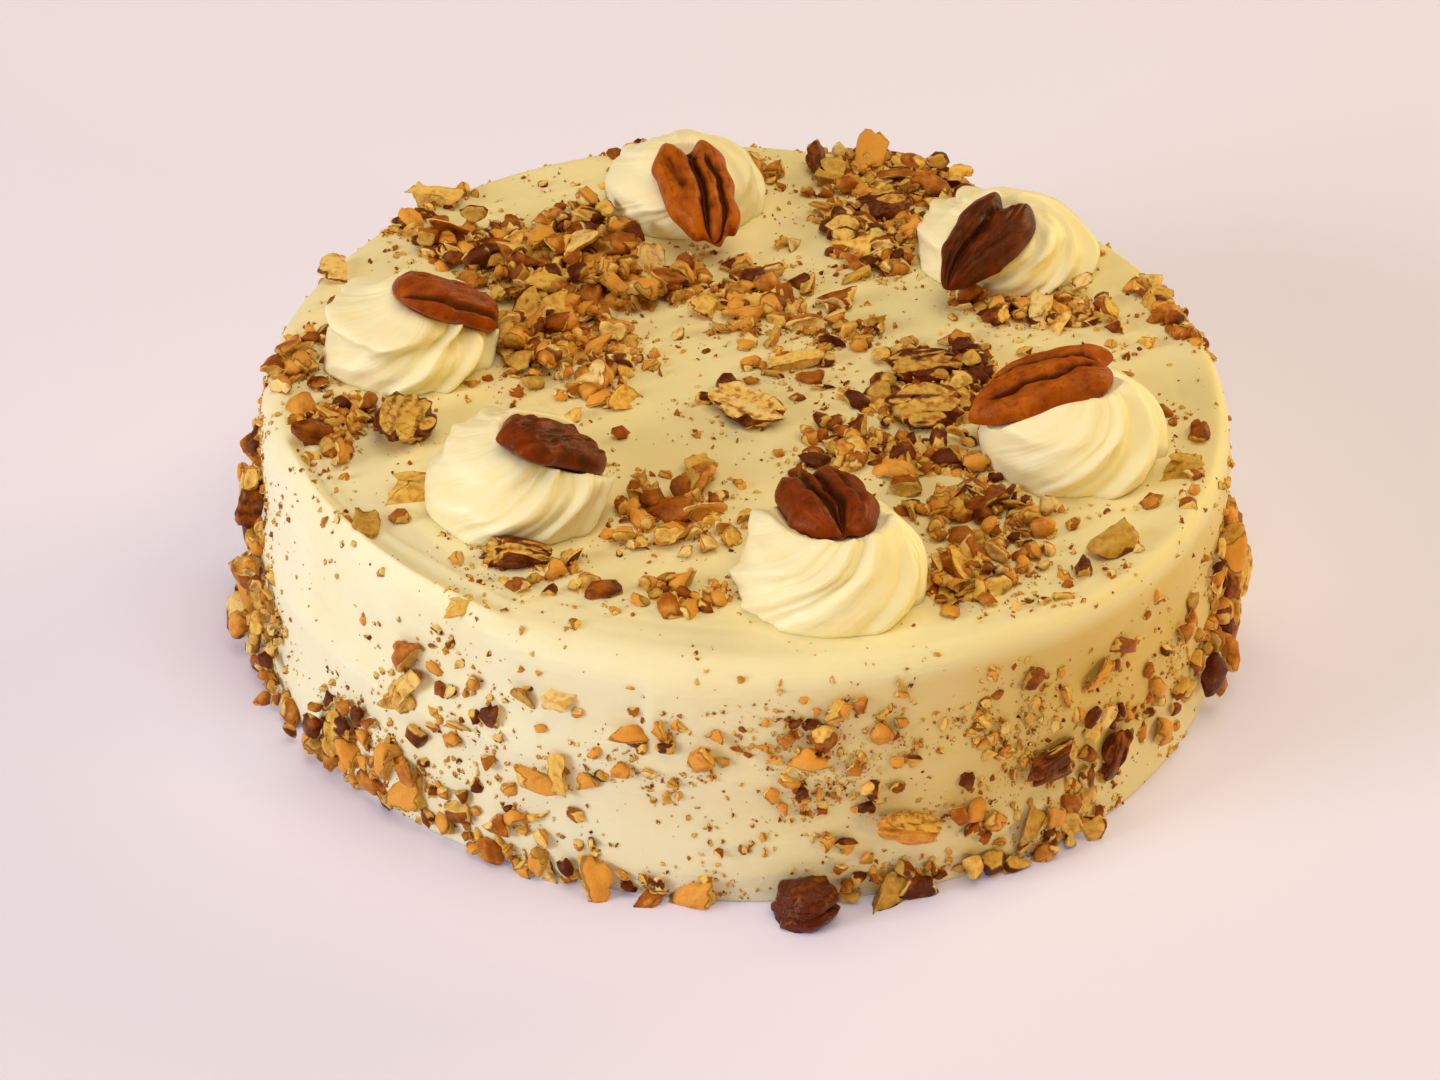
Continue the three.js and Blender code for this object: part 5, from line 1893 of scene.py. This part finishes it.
def half_rings(number):
    """Rings along a half in its own frame, and its groove colour and painted shade: darker in the
    grooves and the wrinkles' valleys.
    """
    length, width = HALVES[number][5:7]
    seed = HALF_SEED * (number + 1)
    along, side, up = half_grid()
    fullness = np.where(along < 0, *BLUNTNESS[number])
    end = np.sqrt(np.clip(1 - np.abs(along) ** fullness, 0, 1))
    flat = np.stack([along * length / 2, side * width / 2, 0 * along], -1).reshape(-1, 3)
    wander = noise_of_layers(flat, COURSE_WANDER, seed).reshape(along.shape)
    cut, line = groove_marks(along, side, wander, GROOVES[number])
    fine = noise_of_layers(flat, WRINKLES, seed).reshape(along.shape)
    arched = HALF_SHAPE["back"] * np.abs(up) ** HALF_SHAPE["back_fullness"]
    grooved = arched * (1 - np.minimum(cut, DEEPEST_GROOVE))
    dome = np.where(up > 0, grooved, up * HALF_SHAPE["face"])
    skin = RUGGED[number] * WRINKLE_DEPTH * fine * np.clip(up, 0, 1) * end
    x, y = half_outline(number, along, side, end, seed)
    z = HALF_THICKNESS * (dome * end - HALF_SHAPE["droop"] * along**2) + skin
    # The groove line is partly the skin's darker crease and partly painted shade; the troughs and
    # wrinkle valleys add painted shade.
    dark = (up > 0) * (line + PAINTED_GROOVE_AND_WRINKLE_SHADE["by_groove"] * cut)
    dark = dark + PAINTED_GROOVE_AND_WRINKLE_SHADE["by_wrinkle"] * np.clip(-fine, 0, 1)
    return np.stack([x, y, z], -1), np.clip(dark, 0, 1)


# %% Skin of a pecan half, with painted shade in its grooves and wrinkles
HALF_DARK = (0.070, 0.012, 0.002, 1)
HALF_RED = (0.260, 0.038, 0.002, 1)
HALF_GOLDEN = (0.600, 0.155, 0.006, 1)
# Colour of the grooves: partly their own darker skin, partly painted shade.
GROOVE_COLOUR_AND_SHADE = (0.050, 0.009, 0.001, 1)
HALF_SURFACE = {
    "Roughness": 0.40,
    "Specular IOR Level": 0.24,
    "Specular Tint": (1.0, 0.62, 0.34, 1),
}
TO_RED, RED_TO_GOLDEN = (0.0, 0.45), (0.40, 1.0)
FLECKS = {"from": (0.52, 0.72), "share": 0.45}
GROOVE_SHADE_MIX = {"from": (0.10, 1.0), "share": 0.9}


def pecan_skin():
    finish, tree, shader, place = new_finish("pecan_skin")
    cloudy = calc(tree, "MULTIPLY", centred_patches(tree, place, 4.5, 4.0), 0.7)
    tone = calc(tree, "ADD", mark_of(tree, "tone"), cloudy)
    skin = blend_colour(tree, between(tree, tone, *TO_RED), HALF_DARK, HALF_RED)
    skin = blend_colour(tree, between(tree, tone, *RED_TO_GOLDEN), skin, HALF_GOLDEN)
    spots = patches(tree, place, 1.6, 3.0, 0.4)
    flecks = between(tree, spots, *FLECKS["from"], 0.0, FLECKS["share"])
    skin = blend_colour(tree, flecks, skin, HALF_DARK)
    # Darkens the grooves and wrinkles: partly their own colour, partly painted shade.
    grooved = between(tree, mark_of(tree, "dark"), *GROOVE_SHADE_MIX["from"], 0.0, GROOVE_SHADE_MIX["share"])
    skin = blend_colour(tree, grooved, skin, GROOVE_COLOUR_AND_SHADE)
    fine = patches(tree, place, 0.6, 3.0, 0.1)
    coat(tree, shader, skin, fine, HALF_SURFACE, strength=0.45, depth=0.3)
    return finish


# %% Make the halves
# The painted groove shade at the two pole points of each half.
END_POINT_GROOVE_SHADE = 0.5

half_finish = pecan_skin()
for number, half in enumerate(HALVES):
    rings, dark = half_rings(number)
    points, faces = closed_rings(rings)
    dark = np.pad(dark.ravel(), 1, constant_values=END_POINT_GROOVE_SHADE)
    marks = {"dark": dark, "tone": np.full(len(points), TONES[number])}
    placed = moved_by(points, half_placing(half))
    piece = mesh_piece(f"pecan_half_skin_{number + 1}", placed, faces, marks)
    piece.data.materials.append(half_finish)
    serve(piece, "pecan_half", f"pecan_half_{number + 1}")

# %% [markdown]
# ## Pressing the halves into the cream
#
# A half is set on the swirl while the cream is soft, so its flat face has pressed a bed
# into the cream and a low roll of cream stands round its edge. The points of the swirl
# that lie under the half's outline are moved down its own axis to just below its face,
# and those round it slope from the bed up to the free cream.

# %% A bed in the cream
BED_MARGIN = 1.04
BED_GAP = 0.15
BED_RAMP = 0.28
ROLL = {"height": 0.7, "at": 0.3, "width": 0.22, "deep": 4}


def pressed(points, half):
    """Points of a swirl in millimetres after its half was pressed in."""
    placing = half_placing(half)
    own = moved_by(points, placing.inverted())
    height = own[:, 2]
    along, side = own[:, 0] / (half[5] / 2), own[:, 1] / (half[6] / 2)
    edge = (np.abs(along) ** HALF_SHAPE["fullness"] + np.abs(side) ** 2) ** 0.5 / BED_MARGIN
    ramp = ease((edge - 1) / BED_RAMP)
    bed = face_height(np.clip(along, -1, 1), side) - BED_GAP
    roll = ROLL["height"] * bell(edge - 1 - ROLL["at"], ROLL["width"])
    roll = roll * bell(height - bed, ROLL["deep"])
    own[:, 2] = np.where(height > bed, mix(bed, height, ramp), height) + roll * ramp
    return moved_by(own, placing)


# %% Pipe the swirls
SWIRL_HABITS = [  # lean of the peak in x and y, coil, depth of the ridges, how smooth one side is
    (0.5, 1.5, 0.05, 0.26, 0.85),
    (1.5, 1.0, 0.09, 0.18, 0.90),
    (1.5, 0.5, 0.16, 0.16, 0.75),
    (0.5, -2.0, 0.06, 0.16, 0.85),
    (-1.0, -1.5, 0.08, 0.25, 0.90),
    (-2.0, 0.5, 0.05, 0.27, 0.90),
]
DEEPER_AT_PEAK = 1.5
SWIRL_SUNK = 0.5

cream = cream_finish()
for number, (swirl, habits, half) in enumerate(zip(SWIRLS, SWIRL_HABITS, HALVES), start=1):
    x, y, radius, height, turned = swirl
    lean_x, lean_y, coil, depth, smoothed = habits
    piece = mesh_piece(f"piped_swirl_{number}", [(0, 0, 0)], [])
    own_sizes = {
        "Radius": radius * MM,
        "Height": (height + SWIRL_SUNK) * MM,
        "Depth At Foot": depth,
        "Depth At Peak": depth * DEEPER_AT_PEAK,
        "Smoothed": smoothed,
        "Coil": coil,
        "Turned By": math.radians(turned),
        "Lean": (lean_x * MM, lean_y * MM, 0.0),
        "Seed": number,
        "Finish": cream,
    }
    run_tree(piece, piped_swirl, {**SWIRL_SIZES, **own_sizes})
    points = points_of(piece.data) + (x, y, CAKE_HEIGHT - SWIRL_SUNK)
    move_points(piece.data, pressed(points, half))
    serve(piece, "piping", f"rosette_{number}")

# %% [markdown]
# ## Broken pieces
#
# A dozen pieces are as large as berries. They are made as the chopped ones are, with
# many more points, since each of them is seen on its own. The main break of each is
# chosen, and two small ones at its ends and a third are drawn by chance. Streaks of
# skin are left across the broken flesh.

# %% Breaks and streaks of the pieces
PIECE_DETAIL = 5
PIECE_ROUGHNESS = 0.10
PIECE_BEND = 0.2
PIECE_SEED, PIECE_DRAWS = 600, 977
PIECE_ENDS = {"lean": 0.6, "distance": (0.65, 0.9)}
PIECE_THIRD = (0.7, 0.9)
BREAKS = [  # main break's direction and distance, dish, tone of skin, of flesh, streaks
    ((-0.20, -0.40, 0.95), 0.50, 0.35, 0.12, 0.30, 0.55),
    ((0.00, -0.25, 1.00), 0.30, 0.15, 0.15, 0.80, 0.5),
    ((-0.20, -0.50, 0.85), 0.42, 0.10, 0.18, 0.12, 0.9),
    ((-0.20, -0.30, 0.95), 0.50, 0.10, 0.15, 0.05, 1.0),
    ((-0.90, -0.20, 0.40), 0.45, 0.20, 0.14, 0.12, 1.0),
    ((0.00, 1.00, 0.20), 0.60, 0.10, 0.06, 0.10, 0.5),
    ((0.10, 0.30, -1.00), 0.75, 0.10, 0.00, -0.10, 1.3),
    ((0.20, 1.00, 0.30), 0.45, 0.10, 0.72, 0.35, 0.5),
    ((1.00, 0.00, 0.40), 0.40, 0.20, 0.14, 0.20, 1.0),
    ((-0.20, -1.00, 0.50), 0.50, 0.20, 0.14, 0.20, 1.0),
    ((0.30, 0.20, 1.00), 0.50, 0.20, 0.18, 0.35, 0.6),
    ((0.00, 0.30, 1.00), 0.45, 0.20, 0.60, 0.30, 0.5),
]
STREAKS = {"pitch": (0.7, 0.11, 0.13), "seed": 9, "share": 0.8, "from": 0.2, "spread": 3}
GRAIN = {"tone": 0.15, "pale": 0.25}


def main_break_cuts(draw, direction, distance):
    """The main break of a piece, a small one at each end and one on any side."""
    main = np.array(direction)
    cuts = [(main / np.linalg.norm(main), distance)]
    for end in (1, -1):
        cuts.append((leaning(draw, end, PIECE_ENDS["lean"]), mix(*PIECE_ENDS["distance"], draw())))
    return [*cuts, (random_direction(draw), mix(*PIECE_THIRD, draw()))]


def lying_pieces():
    """Size and placing of each piece, first those on the top and then those on the side."""
    for x, y, heading, *size in TOP_PIECES:
        lift = (0.5 - PIECE_SUNK) * size[2]
        yield size, lying_on_top(x, y, lift, math.radians(heading))
    for at, up, heading, *size in SIDE_PIECES:
        lift = (0.5 - PIECE_SUNK) * size[2]
        yield size, lying_on_side(math.radians(at), up, lift, math.radians(heading))


def streaked_flesh(flesh, grain, streaks):
    """The flesh mark with streaks of skin. Above 1 they widen, until they cover the breaks."""
    reach = STREAKS["from"] + STREAKS["spread"] * max(streaks - 1, 0)
    return flesh * (1 - STREAKS["share"] * streaks * ease(reach - grain))

# %% Make the broken pieces
piece_finish = chopped_pecan("broken_pecan", roughness=0.30, creased_and_shaded=0.9)
for number, ((size, placing), row) in enumerate(zip(lying_pieces(), BREAKS), start=1):
    direction, distance, dish, tone, pale, streaks = row
    seed = PIECE_SEED + number
    cuts = main_break_cuts(draws_from(seed * PIECE_DRAWS), direction, distance)
    points, faces, flesh = broken_lump(PIECE_DETAIL, cuts, seed, dish, PIECE_BEND, PIECE_ROUGHNESS)
    grain = layered_noise(points, STREAKS["pitch"], seed + STREAKS["seed"], 2)
    marks = {
        "flesh": streaked_flesh(flesh, grain, streaks),
        "tone": tone + GRAIN["tone"] * grain,
        "pale": pale + GRAIN["pale"] * grain,
    }
    piece = mesh_piece(f"broken_pecan_{number}", moved_by(points * size, placing), faces, marks)
    piece.data.materials.append(piece_finish)
    serve(piece, "pecan_piece", f"pecan_piece_{number}")

# %% [markdown]
# ## Floor and light
#
# A pale floor without an edge, with a faint glow that keeps it even. Four soft lamps: a
# cool white key on the left, a large warm one above, a warm one behind on the right, and
# a small, low and deeply warm one on the right.

# %% Floor
FLOOR_REACH = 4000
FLOOR_SURFACE = {
    "Base Color": (0.82, 0.78, 0.92, 1),
    "Roughness": 0.9,
    "Emission Color": (0.06, 0.08, 0.14, 1),
    "Emission Strength": 1.0,
}

corners = [(-1, -1), (1, -1), (1, 1), (-1, 1)]
floor_corners = [(x * FLOOR_REACH, y * FLOOR_REACH, 0) for x, y in corners]
floor = mesh_piece("floor", floor_corners, [(0, 1, 2, 3)])
floor_finish, _, floor_shader, _ = new_finish("floor")
for socket, value in FLOOR_SURFACE.items():
    floor_shader.inputs[socket].default_value = value
floor.data.materials.append(floor_finish)

# %% Lamps
LAMPS = [  # name, place, size, watts, colour
    ("key", (-2500, -1450, 950), 1260, 57, (0.92, 0.93, 0.98)),
    ("above", (300, -400, 2950), 2700, 54, (1.0, 0.87, 0.70)),
    ("behind", (1950, 1650, 1050), 1260, 26, (1.0, 0.84, 0.42)),
    ("right", (2350, -1100, 260), 420, 17, (1.0, 0.72, 0.12)),
]
AMBIENT_COLOUR = (1.0, 0.66, 0.26, 1)
AMBIENT_STRENGTH = 0.2

for name, place, size, watts, colour in LAMPS:
    lamp = bpy.data.objects.new(name, bpy.data.lights.new(name, "AREA"))
    bpy.context.collection.objects.link(lamp)
    lamp.data.energy = watts
    lamp.data.size = size * MM
    lamp.data.color = colour
    lamp.location = Vector(place) * MM
    lamp.rotation_euler = (-Vector(place)).to_track_quat("-Z", "Y").to_euler()

world = bpy.data.worlds.new("studio")
bpy.context.scene.world = world
world.use_nodes = True
nodes = world.node_tree.nodes
sky = nodes.get("Background") or nodes.new("ShaderNodeBackground")
sky.inputs["Color"].default_value = AMBIENT_COLOUR
sky.inputs["Strength"].default_value = AMBIENT_STRENGTH
bpy.context.scene.view_settings.view_transform = "Standard"
